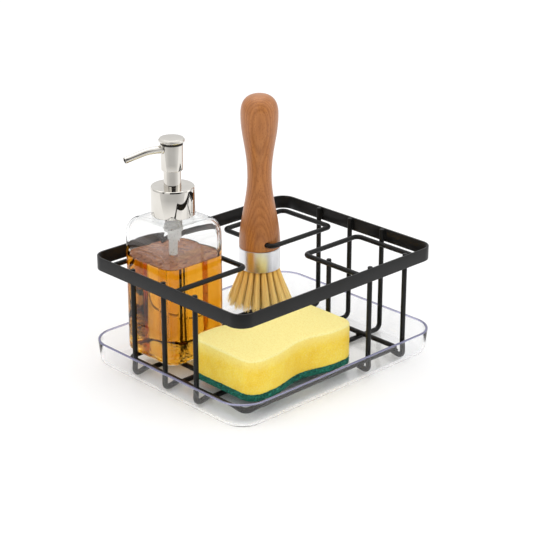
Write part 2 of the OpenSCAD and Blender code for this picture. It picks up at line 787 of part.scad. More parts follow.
// Three lengths of the spout, at radii for its outside or its bore
module spout_run(root, middle, tip, over) {
    straight = spout_reach * 0.42;
    bow_r = spout_reach * 0.9;
    bow = bow_r * sin(spout_bend);
    rest = (spout_reach - straight - bow) / cos(spout_bend);
    translate([spout_start - over, 0, 0]) rotate([0, 90, 0])
        cylinder(r1 = root, r2 = middle + run_gap, h = straight - spout_start + over + spout_lap);
    translate([straight, 0, -bow_r]) rotate([90, 0, 0]) rotate([0, 0, 90 - spout_bend])
        rotate_extrude(angle = spout_bend, $fn = 180) translate([bow_r, 0]) circle(r = middle, $fn = 48);
    translate([straight + bow, 0, bow_r * (cos(spout_bend) - 1)]) rotate([0, 90 + spout_bend, 0])
        translate([0, 0, -spout_lap]) cylinder(r1 = middle - run_gap, r2 = tip, h = rest + over + spout_lap);
}

module spout() {
    middle = (spout_root_r + spout_tip_r) / 2;
    color([0.82, 0.8, 0.76]) along_spout() difference() {
        spout_run(spout_root_r, middle, spout_tip_r, 0);
        spout_run(spout_bore_r, spout_bore_r, spout_bore_r, cut);
    }
}

// Radius of the wooden handle at a share of its length
function ease(t) = (1 - cos(180 * t)) / 2;
function handle_radius(s) =
    s < foot_share ? handle_foot_r
    : s < waist_share ? let (t = (s - foot_share) / (waist_share - foot_share))
        handle_foot_r + (handle_waist_r - handle_foot_r) * ease(t)
    : let (t = (s - waist_share) / (knob_share - waist_share))
        handle_waist_r + (handle_knob_r - handle_waist_r) * ease(pow(t, 1.1));
function handle_profile() = concat(
    [[0, 0]],
    [for (i = [0 : 2 * profile_steps]) let (s = knob_share * i / (2 * profile_steps))
        [handle_radius(s), s * handle_l]],
    [for (i = [1 : profile_steps]) let (a = 90 * i / profile_steps)
        [handle_knob_r * pow(cos(a), knob_flat_share),
        (knob_share + (1 - knob_share) * pow(sin(a), knob_flat_share)) * handle_l]]
);

module brush_handle() {
    color([0.72, 0.47, 0.29]) difference() {
        translate([brush_x, brush_y, handle_foot]) union() {
            rotate_extrude($fn = 96) polygon(handle_profile());
            translate([0, 0, -tenon_h]) cylinder(r = plug_fit_r, h = tenon_h + foot_share * handle_l);
        }
        translate([brush_loop_x[0], brush_y - handle_foot_r - cut, loop_z]) rotate([-90, 0, 0])
            cylinder(r = hole_r, h = 2 * (handle_foot_r + cut));
    }
}

module ferrule() {
    color([0.75, 0.75, 0.77]) translate([brush_x, brush_y, ferrule_foot]) difference() {
        union() {
            cylinder(r1 = ferrule_r - ferrule_fold, r2 = ferrule_r, h = ferrule_fold);
            translate([0, 0, ferrule_fold]) cylinder(r = ferrule_r, h = ferrule_h - ferrule_fold - run_gap);
        }
        translate([0, 0, -cut]) cylinder(r = ferrule_r - ferrule_t, h = ferrule_h + 2 * cut);
    }
}

module bristle_plug() {
    color([0.6, 0.4, 0.25]) translate([brush_x, brush_y, ferrule_foot + backing_t])
        cylinder(r = plug_fit_r, h = ferrule_h - tenon_h - backing_t);
}

// Middles of the tufts, as [radius, angle], ring by ring from the centre
tufts = concat([[0, 0]], [for (k = [1 : tuft_rings], i = [0 : 6 * k - 1]) [k * tuft_ring_gap, 60 * i / k]]);

// Middles of the strands in one tuft, as shares of the tuft's radius
strand_shares = concat(
    [for (i = [1 : tuft_inner]) let (a = 360 * i / tuft_inner) 0.42 * [cos(a), sin(a)]],
    [for (i = [1 : tuft_outer]) let (a = 360 * (i + 0.4) / tuft_outer) [cos(a), sin(a)]]
);

// A triangle of points round one strand at one height
function strand_triangle(place, z) = let (r = strand_w / sqrt(3)) [
    for (i = [0 : 2]) [place[0] + r * cos(120 * i), place[1] + r * sin(120 * i), z]
];

module bristles() {
    spread = bristle_tip_r / (tuft_rings * tuft_ring_gap);
    root = [for (t = tufts, s = strand_shares)
        t[0] * [cos(t[1]), sin(t[1])] + s * (tuft_r - strand_w / 2)];
    tip = [for (t = tufts, s = strand_shares)
        t[0] * spread * [cos(t[1]), sin(t[1])] + s * tuft_tip_share * tuft_ring_gap * spread];
    tip_z = [for (t = tufts, s = strand_shares)
        bristle_l * (1 - 0.12 * pow(t[0] / (tuft_rings * tuft_ring_gap), 2))];
    count = len(root);
    points = concat(
        [for (k = [0 : count - 1]) each strand_triangle(tip[k], -tip_z[k])],
        [for (k = [0 : count - 1]) each strand_triangle(root[k], 0)]
    );
    up = 3 * count;
    faces = [for (k = [0 : count - 1]) let (a = 3 * k, b = up + 3 * k) each [
        [a, a + 1, a + 2], [b + 2, b + 1, b],
        [a, b, b + 1], [a, b + 1, a + 1], [a + 1, b + 1, b + 2], [a + 1, b + 2, a + 2],
        [a + 2, b + 2, b], [a + 2, b, a]
    ]];
    echo(strands = count);
    color([0.86, 0.75, 0.54]) translate([brush_x, brush_y, ferrule_foot + backing_t])
        resize([0, 0, bristle_l + backing_t]) translate([0, 0, -backing_t]) union() {
        polyhedron(points, faces, convexity = 20);
        cylinder(r = plug_fit_r - ferrule_fold, h = backing_t);
    }
}

// Half width of the sponge at a distance from its middle
function sponge_half(x) = let (span = sponge_l * waist_span_share / 2)
    abs(x) < span ? sponge_w / 2 - sponge_waist * (1 + cos(180 * x / span)) / 2 : sponge_w / 2;

// Half of the sponge's outline: a waisted long side and the two corners of one end
function sponge_edge() = let (
    flat = sponge_l / 2 - sponge_corner_r,
    c = sponge_w / 2 - sponge_corner_r
) concat(
    [for (i = [0 : sponge_steps]) let (x = flat * (1 - 2 * i / sponge_steps)) [x, sponge_half(x)]],
    [for (i = [1 : 8]) let (a = 90 + 90 * i / 8) [-flat, c] + sponge_corner_r * [cos(a), sin(a)]],
    [for (i = [0 : 7]) let (a = 180 + 90 * i / 8) [-flat, -c] + sponge_corner_r * [cos(a), sin(a)]]
);

module sponge_slab(z, h) {
    edge = sponge_edge();
    translate([sponge_x, sponge_y, z]) linear_extrude(h) polygon(concat(edge, [for (p = edge) -p]));
}

module sponge_foam() {
    color([0.96, 0.87, 0.42]) sponge_slab(goods_z + pad_h, sponge_h - pad_h);
}

module scouring_pad() {
    color([0.08, 0.42, 0.33]) sponge_slab(goods_z, pad_h);
}

drip_tray();
rim_band();
floor_wire_back();
floor_wire_middle();
floor_wire_front();
base_ring();
cross_wire_left();
cross_wire_middle();
cross_wire_right();
front_leg_inner();
front_leg_outer();
back_leg_inner();
back_leg_outer();
divider_post();
bottle_loop();
brush_loop();
side_loop();
glass_bottle();
soap_fill();
neck_gasket();
pump_housing();
stem_guide();
inlet_ball();
dip_tube();
return_spring();
collar_liner();
collar_shell();
guide_neck();
piston();
piston_stem();
pump_head();
head_cap();
spout();
brush_handle();
ferrule();
bristle_plug();
bristles();
sponge_foam();
scouring_pad();
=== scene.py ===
"""Sink caddy with a soap pump, a dish brush and a sponge: the looks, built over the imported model.

Lengths are in millimetres until a mesh is made, which is in metres, in the model's own frame.
"""

import math
import random

import bpy
from mathutils import Matrix, Vector, noise


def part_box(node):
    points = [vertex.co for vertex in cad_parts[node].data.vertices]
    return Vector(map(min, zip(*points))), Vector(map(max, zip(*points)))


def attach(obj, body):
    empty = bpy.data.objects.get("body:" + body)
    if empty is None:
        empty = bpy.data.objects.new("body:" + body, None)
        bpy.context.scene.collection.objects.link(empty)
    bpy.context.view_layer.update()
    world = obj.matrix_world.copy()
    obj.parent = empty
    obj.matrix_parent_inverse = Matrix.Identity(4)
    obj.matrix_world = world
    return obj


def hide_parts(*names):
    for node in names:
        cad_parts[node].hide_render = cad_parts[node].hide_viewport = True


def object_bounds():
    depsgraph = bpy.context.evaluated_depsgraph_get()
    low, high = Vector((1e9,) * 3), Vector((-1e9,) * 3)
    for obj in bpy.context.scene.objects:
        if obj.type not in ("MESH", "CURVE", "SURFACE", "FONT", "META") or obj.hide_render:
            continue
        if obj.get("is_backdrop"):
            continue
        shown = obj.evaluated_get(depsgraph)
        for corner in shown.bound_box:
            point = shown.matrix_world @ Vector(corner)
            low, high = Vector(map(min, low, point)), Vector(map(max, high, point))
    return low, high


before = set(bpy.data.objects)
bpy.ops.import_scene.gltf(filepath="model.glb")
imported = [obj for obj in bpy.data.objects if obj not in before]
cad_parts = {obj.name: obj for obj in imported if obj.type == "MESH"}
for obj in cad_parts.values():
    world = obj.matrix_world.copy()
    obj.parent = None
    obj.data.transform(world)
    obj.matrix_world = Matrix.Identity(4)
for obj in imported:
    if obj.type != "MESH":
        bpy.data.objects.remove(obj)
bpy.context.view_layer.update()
RNG = random.Random(7)
MM = 0.001
TAU = 2 * math.pi
UP = Vector((0, 0, 1))
ALL_SMOOTH = 180
CORNER_STEPS = 12


def box(node):
    """A CAD node's lowest and highest corner, in millimetres."""
    lo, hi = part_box(node)
    return lo * 1000, hi * 1000


def middle(lo, hi):
    """The middle of a box, seen from above."""
    return (lo.x + hi.x) / 2, (lo.y + hi.y) / 2


# meshes


def arc(cx, cz, r, a0, a1, n, rz=None):
    """Points of an arc in a section, angles in degrees."""
    rz = r if rz is None else rz
    out = []
    for i in range(n + 1):
        a = math.radians(a0 + (a1 - a0) * i / n)
        out.append((cx + r * math.cos(a), cz + rz * math.sin(a)))
    return out


def swing(a, b, t):
    """The vector a share t of the way round from a to b, which are equally long."""
    angle = a.angle(b, 0)
    if angle < 1e-4:
        return a.copy()
    return (a * math.sin((1 - t) * angle) + b * math.sin(t * angle)) / math.sin(angle)


def bent(points, radii, n):
    """A line through points, its inner corners rounded, each to its own radius."""
    points = [Vector(p) for p in points]
    out = [points[0]]
    for k in range(1, len(points) - 1):
        p, r = points[k], radii[k]
        if r <= 0:
            out.append(p)
            continue
        u = (points[k - 1] - p).normalized()
        v = (points[k + 1] - p).normalized()
        half = u.angle(v) / 2
        reach = r / math.tan(half)
        mid = p + (u + v).normalized() * (r / math.sin(half))
        a, b = p + u * reach - mid, p + v * reach - mid
        out += [mid + swing(a, b, i / n) for i in range(n + 1)]
    return out + [points[-1]]


def piece(name, verts, faces, body, slot, material, smooth=35, nodes=()):
    """A mesh piece that rides on a body, from vertices in millimetres."""
    me = bpy.data.meshes.new(name)
    me.from_pydata([tuple(c * MM for c in v) for v in verts], [], faces)
    me.validate()
    me.update()
    me.shade_smooth()
    if smooth < ALL_SMOOTH:
        me.set_sharp_from_angle(angle=math.radians(smooth))
    ob = bpy.data.objects.new(name, me)
    bpy.context.scene.collection.objects.link(ob)
    me.materials.append(material)
    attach(ob, body)
    if nodes:
        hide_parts(*nodes)
    return ob


def strips(rows, closed_row=True, closed_col=False):
    """Faces between rows of equal length, given the index of each row's first point."""
    faces = []
    n = rows[0][1]
    pairs = list(zip(rows, rows[1:])) + ([(rows[-1], rows[0])] if closed_col else [])
    for (a, _), (b, _) in pairs:
        for i in range(n if closed_row else n - 1):
            j = (i + 1) % n
            faces.append((a + i, a + j, b + j, b + i))
    return faces


def lathe(profile, centre, segs=96):
    """A surface of revolution about a vertical axis; a point on the axis closes it."""
    verts, rows, faces = [], [], []
    for r, z in profile:
        if r < 1e-6:
            rows.append((len(verts), 1))
            verts.append((centre[0], centre[1], z))
        else:
            rows.append((len(verts), segs))
            for i in range(segs):
                a = TAU * i / segs
                verts.append((centre[0] + r * math.cos(a), centre[1] + r * math.sin(a), z))
    for (a, na), (b, nb) in zip(rows, rows[1:]):
        for i in range(segs):
            j = (i + 1) % segs
            if na == 1 and nb == 1:
                continue
            if na == 1:
                faces.append((a, b + j, b + i))
            elif nb == 1:
                faces.append((a + i, a + j, b))
            else:
                faces.append((a + i, a + j, b + j, b + i))
    return verts, faces


def row_faces(row):
    """The face that fills a row of points."""
    return tuple(range(row[0], row[0] + row[1]))


def capped(rows):
    """Faces between rows, with both ends filled."""
    return strips(rows) + [tuple(reversed(row_faces(rows[0]))), row_faces(rows[-1])]


def square_turn(centre, core, r, z, n=CORNER_STEPS):
    """Points round a rectangle with rounded corners, whose corner middles are at core."""
    out = []
    for q, (sx, sy) in enumerate(((1, 1), (-1, 1), (-1, -1), (1, -1))):
        for i in range(n + 1):
            a = math.pi / 2 * (q + i / n)
            x = centre[0] + sx * core[0] + r * math.cos(a)
            out.append((x, centre[1] + sy * core[1] + r * math.sin(a), z))
    return out


def swept(section, core, centre=(0, 0), n=CORNER_STEPS, closed=False):
    """A section of (distance from a corner's middle, height), swept round a rectangle."""
    verts, rows = [], []
    for u, z in section:
        rows.append((len(verts), 4 * (n + 1)))
        verts += square_turn(centre, core, u, z, n)
    return verts, strips(rows, closed_col=True) if closed else capped(rows)


def ring(verts, centre, side, other, r, n):
    """Adds a ring of points round centre to verts and returns its row."""
    start = len(verts)
    for i in range(n):
        a = TAU * i / n
        verts.append(tuple(centre + side * (r * math.cos(a)) + other * (r * math.sin(a))))
    return start, n


def tube(path, radius, segs=20, closed=False, dome=0.7):
    """A tube along a path; its ends are rounded over by dome."""

    def end_rings(tip, inwards, along, degrees):
        turns = [math.radians(t) for t in degrees]
        return [
            (tip + inwards * dome * (1 - math.cos(a)), along, radius - dome * (1 - math.sin(a)))
            for a in turns
        ]

    path = [Vector(p) for p in path]
    rings, body = [], path
    if not closed:
        d0 = (path[1] - path[0]).normalized()
        d1 = (path[-1] - path[-2]).normalized()
        rings = end_rings(path[0], d0, d0, (0, 30, 60))
        body = [path[0] + d0 * dome] + path[1:-1] + [path[-1] - d1 * dome]
    for k, p in enumerate(body):
        before = body[k - 1] if (closed or k) else p
        after = body[(k + 1) % len(body)] if (closed or k < len(body) - 1) else p
        rings.append((p, (after - before).normalized(), radius))
    if not closed:
        rings += end_rings(path[-1], -d1, d1, (60, 30, 0))
    side = UP if abs(rings[0][1].z) < 0.9 else Vector((1, 0, 0))
    verts, rows = [], []
    for p, d, r in rings:
        side = (side - d * side.dot(d)).normalized()
        rows.append(ring(verts, p, side, d.cross(side), r, segs))
    return verts, strips(rows, closed_col=True) if closed else capped(rows)


# materials


class Tree:
    """A node tree, built by name."""

    def __init__(self, owner):
        owner.use_nodes = True
        self.tree = owner.node_tree
        self.tree.nodes.clear()

    def set(self, node, key, value):
        socket = node.inputs[key] if isinstance(key, int) else next(
            s for s in node.inputs if s.name.lower() == key.lower() and s.enabled
        )
        if isinstance(value, bpy.types.NodeSocket):
            self.tree.links.new(value, socket)
        elif isinstance(value, (list, tuple)) and len(value) == 3 and socket.type == "RGBA":
            socket.default_value = (*value, 1)
        else:
            socket.default_value = value

    def node(self, kind, inputs=None, **props):
        """A new node; its properties come first, because they decide which sockets it shows."""
        node = self.tree.nodes.new("ShaderNode" + kind)
        for key, value in props.items():
            setattr(node, key, value)
        for key, value in (inputs or {}).items():
            self.set(node, key, value)
        return node

    def add(self, kind, out=0, inputs=None, **props):
        """A new node's output."""
        return self.node(kind, inputs, **props).outputs[out]

    def mapped(self, vector, **how):
        return self.add("Mapping", inputs={"Vector": vector, **how})

    def place(self, scale=(1, 1, 1)):
        """The point on the object, in metres."""
        return self.mapped(self.add("TexCoord", out="Object"), Scale=scale)

    def z_of(self, vector):
        return self.add("SeparateXYZ", out="Z", inputs={"Vector": vector})

    def climb(self, z0, z1, start=0.0, end=1.0):
        """From start at the height z0 to end at z1, in millimetres."""
        ends = {"From Min": z0 * MM, "From Max": z1 * MM, "To Min": start, "To Max": end}
        return self.add("MapRange", inputs={"Value": self.z_of(self.place()), **ends})

    def noise(self, vector, scale, detail=3, rough=0.5, distort=0):
        return self.add(
            "TexNoise",
            inputs={
                "Vector": vector, "Scale": scale, "Detail": detail,
                "Roughness": rough, "Distortion": distort,
            },
        )

    def cells(self, vector, scale, feature="F1", out="Distance"):
        return self.add(
            "TexVoronoi", out=out, feature=feature, inputs={"Vector": vector, "Scale": scale}
        )

    def ramp(self, value, stops):
        node = self.node("ValToRGB", {0: value})
        while len(node.color_ramp.elements) < len(stops):
            node.color_ramp.elements.new(0.5)
        for e, (at, c) in zip(node.color_ramp.elements, stops):
            e.position = at
            e.color = (*c, 1) if isinstance(c, (list, tuple)) else (c, c, c, 1)
        return node.outputs[0]

    def maths(self, operation, a, b=0.0, clamp=False):
        return self.add("Math", inputs={0: a, 1: b}, operation=operation, use_clamp=clamp)

    def scaled(self, value, share):
        return self.maths("MULTIPLY", value, share)

    def mix(self, factor, a, b, blend="MIX"):
        return self.add("Mix", 2, {0: factor, 6: a, 7: b}, data_type="RGBA", blend_type=blend)

    def bump(self, height, strength, distance):
        return self.add(
            "Bump", inputs={"Height": height, "Strength": strength, "Distance": distance}
        )


class Nodes(Tree):
    """A material with one Principled shader."""

    def __init__(self, name, **shader):
        self.material = bpy.data.materials.new(name)
        super().__init__(self.material)
        self.out = self.node("OutputMaterial")
        self.shader = self.node("BsdfPrincipled")
        self.tree.links.new(self.shader.outputs[0], self.out.inputs["Surface"])
        self.wire(**shader)

    def let_light_through(self, share):
        """Light on its way to other surfaces passes straight on, as through a thin clear wall."""
        path = self.node("LightPath")
        soft = self.maths("MAXIMUM", path.outputs["Is Shadow Ray"], path.outputs["Is Diffuse Ray"])
        self.wire(Alpha=self.maths("SUBTRACT", 1.0, self.scaled(soft, share)))

    def wire(self, **sockets):
        for key, value in sockets.items():
            self.set(self.shader, key.replace("_", " "), value)
        return self.material


def powder_coat(name, shade, rough):
    """Satin black powder coat: a fine orange peel and small changes of gloss."""
    m = Nodes(name, IOR=1.32)
    at = m.place()
    fine = m.noise(at, 1400, 2)
    dark, light = (tuple(c * share for c in shade) for share in (0.85, 1.2))
    colour = m.ramp(m.noise(at, 60, 3), [(0.3, dark), (0.75, light)])
    gloss = m.ramp(m.noise(at, 240, 2), [(0.25, rough - 0.05), (0.8, rough + 0.06)])
    return m.wire(Base_Color=colour, Roughness=gloss, Normal=m.bump(fine, 0.35, 0.00006))


def clear_plastic(top):
    """Clear acrylic; painted slate blue at the rim's top, for the reflections where the rim is seen
    edge on.
    """
    m = Nodes("clear_acrylic", IOR=1.32)
    # Painted reflection: the top of the rim is slate blue and less clear, for the dark reflections
    # inside the lip seen edge on
    rim = m.climb(top - 1.6, top - 0.9)
    haze = m.noise(m.place(), 45, 2)
    m.let_light_through(0.9)
    return m.wire(
        Base_Color=m.mix(rim, (0.985, 0.988, 0.99), (0.42, 0.42, 0.64)),
        Transmission_Weight=m.maths("SUBTRACT", 1.0, m.scaled(rim, 0.45)),
        Roughness=m.ramp(haze, [(0.3, 0.035), (0.8, 0.06)]),
    )


def bottle_glass(base_z):
    """Pressed glass: slightly wavy walls, crumpled near the base."""
    m = Nodes(
        "bottle_glass", IOR=1.42, Base_Color=(0.985, 0.992, 0.988), Transmission_Weight=1.0
    )
    m.let_light_through(0.9)
    wave = m.noise(m.place((1, 1, 0.4)), 34, 2)
    low = m.climb(base_z + 7, base_z + 15, 1.0, 0.0)
    crumple = m.scaled(m.noise(m.place((1, 1, 1.5)), 120, 1, 0.5, 1.2), low)
    height = m.maths("ADD", m.scaled(wave, 0.25), m.scaled(crumple, 1.5))
    return m.wire(
        Roughness=m.ramp(m.noise(m.place(), 90, 2), [(0.4, 0.0), (0.9, 0.012)]),
        Normal=m.bump(height, 1.0, 0.0006),
    )


def soap():
    """Amber liquid, deeper where it is thicker; the glass round it bends the light."""
    m = Nodes("amber_soap", IOR=1.0, Transmission_Weight=1.0, Roughness=0.0)
    depth = m.add("VolumeAbsorption", inputs={"Color": (0.925, 0.735, 0.03), "Density": 55.0})
    m.set(m.out, "Volume", depth)
    m.let_light_through(0.9)
    streak = m.noise(m.place((1, 1, 0.12)), 60, 3, 0.55, 0.4)
    shades = [(0.32, (0.8, 0.6, 0.4)), (0.5, (0.97, 0.9, 0.72)), (0.7, (1.0, 0.95, 0.8))]
    return m.wire(Base_Color=m.ramp(streak, shades))


def soap_film():
    """The liquid's top face, a little cloudy: painted reddish brown for the amber light seen
    through it, swirled.
    """
    m = Nodes("soap_film", IOR=1.33, Transmission_Weight=0.5, Roughness=0.1)
    m.let_light_through(0.8)
    swirl = m.noise(m.place(), 150, 4, 0.65, 3.0)
    # Painted light: the reddish-brown tones stand in for the lit amber liquid seen through the top
    # face
    shades = [(0.36, (0.30, 0.10, 0.045)), (0.55, (0.50, 0.23, 0.12)), (0.68, (0.80, 0.42, 0.15))]
    return m.wire(Base_Color=m.ramp(swirl, shades), Normal=m.bump(swirl, 0.12, 0.0004))


def nickel():
    """Polished nickel, with faint smears."""
    m = Nodes("nickel", Metallic=1.0)
    cloud = m.noise(m.place(), 70, 3)
    smear = m.noise(m.place((1, 1, 3)), 300, 3)
    return m.wire(
        Base_Color=m.ramp(cloud, [(0.3, (0.70, 0.67, 0.615)), (0.75, (0.77, 0.745, 0.695))]),
        Roughness=m.ramp(smear, [(0.3, 0.02), (0.8, 0.045)]),
        Normal=m.bump(smear, 0.015, 0.00002),
    )


def brushed_ferrule():
    """Aluminium brushed round its axis."""
    m = Nodes("ferrule_metal", Metallic=1.0)
    lines = m.noise(m.place((0.04, 0.04, 6)), 900, 3, 0.6)
    cloud = m.noise(m.place(), 60, 2)
    return m.wire(
        Base_Color=m.ramp(cloud, [(0.3, (0.74, 0.745, 0.76)), (0.75, (0.82, 0.82, 0.83))]),
        Roughness=m.ramp(lines, [(0.25, 0.27), (0.8, 0.30)]),
        Normal=m.bump(lines, 0.015, 0.00002),
    )


def milky_plastic():
    """Moulded white plastic that lets a little light in."""
    m = Nodes("white_plastic", IOR=1.47, Transmission_Weight=0.25)
    at = m.place()
    cloud = m.noise(at, 80, 2)
    return m.wire(
        Base_Color=m.ramp(cloud, [(0.3, (0.8084, 0.8084, 0.799)), (0.8, (0.86, 0.86, 0.85))]),
        Roughness=m.ramp(m.noise(at, 500, 2), [(0.3, 0.25), (0.8, 0.38)]),
        Normal=m.bump(m.noise(at, 900, 2), 0.08, 0.00005),
    )


def clear_tube():
    """Thin clear hose, a little hazy."""
    m = Nodes("clear_tube", IOR=1.05, Transmission_Weight=0.97)
    at = m.place((1, 1, 0.3))
    haze = m.noise(at, 120, 2)
    m.let_light_through(0.9)
    return m.wire(
        Base_Color=m.ramp(haze, [(0.3, (0.96, 0.94, 0.88)), (0.8, (0.99, 0.98, 0.94))]),
        Roughness=m.ramp(haze, [(0.3, 0.04), (0.8, 0.1)]),
    )


def steel():
    """Drawn spring wire."""
    m = Nodes("spring_steel", Metallic=1.0)
    draw = m.noise(m.place((1, 1, 8)), 500, 3)
    return m.wire(
        Base_Color=m.ramp(draw, [(0.3, (0.5, 0.5, 0.51)), (0.8, (0.68, 0.68, 0.7))]),
        Roughness=m.ramp(draw, [(0.3, 0.2), (0.8, 0.34)]),
        Normal=m.bump(draw, 0.1, 0.00004),
    )


def rubber():
    """Pale matt rubber."""
    m = Nodes("gasket_rubber", IOR=1.5)
    grain = m.noise(m.place(), 900, 3)
    return m.wire(
        Base_Color=m.ramp(grain, [(0.3, (0.72, 0.72, 0.69)), (0.8, (0.82, 0.82, 0.79))]),
        Roughness=m.ramp(grain, [(0.3, 0.5), (0.8, 0.7)]),
        Normal=m.bump(grain, 0.3, 0.00008),
    )


def wood(name, centre, dark, mid, light):
    """Turned wood: rings about a tilted axis beside the piece, and short flecks."""
    m = Nodes(name, IOR=1.48, Coat_Weight=0.45, Coat_Roughness=0.2)
    middle_at = (-centre[0] * MM, -centre[1] * MM, 0)
    at = m.mapped(m.add("TexCoord", out="Object"), Location=middle_at)

    def along(scale, z):
        return m.noise(m.mapped(at, Scale=(1, 1, z)), scale, 4, 0.6)

    warp = along(14, 0.5)
    from_pith = m.mapped(
        at, Rotation=(0.06, 0.03, 0), Scale=(1, 1, 0.12), Location=(0.038, 0.04, 0)
    )
    reach = m.add("VectorMath", out="Value", operation="LENGTH", inputs={0: from_pith})
    year = m.maths("FRACT", m.maths("ADD", m.scaled(reach, 520), m.scaled(warp, 2.9)))
    figure = m.ramp(year, [(0.0, 0.62), (0.16, 0.46), (0.5, 0.62), (0.8, 0.74), (1.0, 0.62)])
    base = m.ramp(figure, [(0.25, dark), (0.6, mid), (0.9, light)])
    speck = m.ramp(m.cells(m.mapped(at, Scale=(1, 1, 0.38)), 820), [(0.12, 1.0), (0.36, 0.0)])
    fine = along(1300, 0.14)
    for mask, share, colour in (
        (speck, 0.7, dark),
        (m.ramp(fine, [(0.42, 0.0), (0.7, 1.0)]), 0.35, light),
        (m.ramp(along(240, 0.1), [(0.35, 1.0), (0.6, 0.0)]), 0.35, dark),
        (m.ramp(along(34, 0.4), [(0.3, 1.0), (0.7, 0.0)]), 0.18, dark),
    ):
        base = m.mix(m.scaled(mask, share), base, colour)
    height = m.maths("SUBTRACT", m.scaled(fine, 0.5), m.scaled(speck, 0.6))
    return m.wire(
        Base_Color=base,
        Roughness=m.ramp(along(600, 0.1), [(0.3, 0.5), (0.75, 0.38)]),
        Normal=m.bump(height, 0.14, 0.0001),
    )


def fibre(name, root, tip, z_root, z_tip):
    """Plant fibre: each strand its own tone, lifted as painted light; deeper at the roots as
    painted shade.
    """
    m = Nodes(name, IOR=1.4)
    own = m.add("NewGeometry", out="Random Per Island")
    # Painted light: a random tone per strand, mostly above one, brightens the fibre for the light
    # lost between strands
    shade = m.ramp(own, [(0.0, 0.76), (0.25, 1.02), (0.7, 1.12), (1.0, 1.22)])
    # Painted shade: deeper colour at the roots, deep in the tuft
    base = m.mix(m.climb(z_root, z_tip), root, tip)
    lengthwise = m.place((1, 1, 0.1))
    return m.wire(
        Base_Color=m.mix(1.0, base, shade, blend="MULTIPLY"),
        Roughness=m.ramp(m.noise(lengthwise, 900, 2), [(0.3, 0.42), (0.8, 0.6)]),
        Normal=m.bump(m.noise(lengthwise, 1600, 2), 0.2, 0.00005),
    )


def foam(z_low, z_high):
    """Yellow foam with fine open pores; painted shade in the pores, painted light on the top and
    upper edge.
    """
    m = Nodes("yellow_foam", IOR=1.35, Roughness=0.95, Sheen_Weight=0.06, Sheen_Roughness=0.5)
    at = m.place()
    pore = m.ramp(m.cells(at, 640), [(0.08, 0.0), (0.42, 1.0)])
    tiny = m.ramp(m.cells(at, 1300), [(0.08, 0.0), (0.42, 1.0)])
    depth = m.maths("ADD", m.scaled(pore, 0.6), m.scaled(tiny, 0.4))
    cloud = m.noise(at, 45, 4, 0.6)
    side = m.ramp(cloud, [(0.35, (0.91, 0.60, 0.035)), (0.65, (0.97, 0.73, 0.085))])
    # Painted highlight: a pale band along the rounded upper edge, so the sides look deeper in
    # colour low down
    painted_edge_light = m.ramp(m.climb(z_low, z_high), [(0.62, 0.0), (0.93, 0.75)])
    side = m.mix(painted_edge_light, side, (0.98, 0.84, 0.27))
    # Painted light from above: faces that look up are paler
    up = m.z_of(m.add("NewGeometry", out="Normal"))
    painted_top_light = m.ramp(up, [(0.05, 0.0), (0.35, 1.0), (0.75, 1.0), (0.98, 0.72)])
    base = m.mix(painted_top_light, side, (0.985, 0.88, 0.36))
    # Painted shade: the pores are darkened
    hole = m.scaled(m.maths("SUBTRACT", 1.0, depth, clamp=True), 0.75)
    base = m.mix(hole, base, (0.80, 0.50, 0.06))
    base = m.mix(m.ramp(m.noise(at, 900, 2), [(0.45, 0.0), (0.8, 0.3)]), base, (1.0, 0.92, 0.45))
    return m.wire(Base_Color=base, Normal=m.bump(depth, 0.6, 0.0004))


def scourer():
    """Green web of stiff threads, painted almost black in its gaps as shade."""
    m = Nodes("green_scourer", IOR=1.45, Sheen_Weight=0.04)
    at = m.place()
    web = m.cells(at, 1300, "DISTANCE_TO_EDGE")
    threads = m.noise(at, 430, 5, 0.8, 1.8)
    # Painted shade: the darkest stop makes the gaps between threads almost black
    shades = [(0.4, (0.001, 0.016, 0.01)), (0.5, (0.005, 0.11, 0.072)), (0.6, (0.035, 0.4, 0.28))]
    base = m.ramp(threads, shades)
    base = m.mix(m.ramp(web, [(0.0, 0.6), (0.12, 0.0)]), base, (0.02, 0.24, 0.16))
    return m.wire(
        Base_Color=base,
        Roughness=m.ramp(threads, [(0.3, 0.9), (0.8, 0.65)]),
        Normal=m.bump(threads, 0.9, 0.0008),
    )


# sizes from the model

_, tray_hi = box("drip_tray")
band_lo, band_hi = box("rim_band")
glass_lo, glass_hi = box("glass_bottle")
_, soap_hi = box("soap_fill")
collar_lo, collar_hi = box("collar_shell")
guide_lo, guide_hi = box("guide_neck")
head_lo, head_hi = box("pump_head")
cap_lo, cap_hi = box("head_cap")
_, handle_hi = box("brush_handle")
ferrule_lo, ferrule_hi = box("ferrule")
bristle_lo, _ = box("bristles")
foam_lo, foam_hi = box("sponge_foam")
pad_lo, pad_hi = box("scouring_pad")
loop_lo, loop_hi = box("brush_loop")

WIRE = (loop_hi.z - loop_lo.z) / 2
BOTTLE = middle(glass_lo, glass_hi)
BRUSH = middle(ferrule_lo, ferrule_hi)

BLACK_BAND = powder_coat("black_band", (0.011, 0.0108, 0.0105), 0.4)
BLACK_WIRE = powder_coat("black_wire", (0.008, 0.0078, 0.0074), 0.36)
ACRYLIC = clear_plastic(tray_hi.z)
GLASS = bottle_glass(glass_lo.z)
SOAP = soap()
FILM = soap_film()
NICKEL = nickel()
FERRULE = brushed_ferrule()
WHITE = milky_plastic()
TUBE = clear_tube()
STEEL = steel()
RUBBER = rubber()
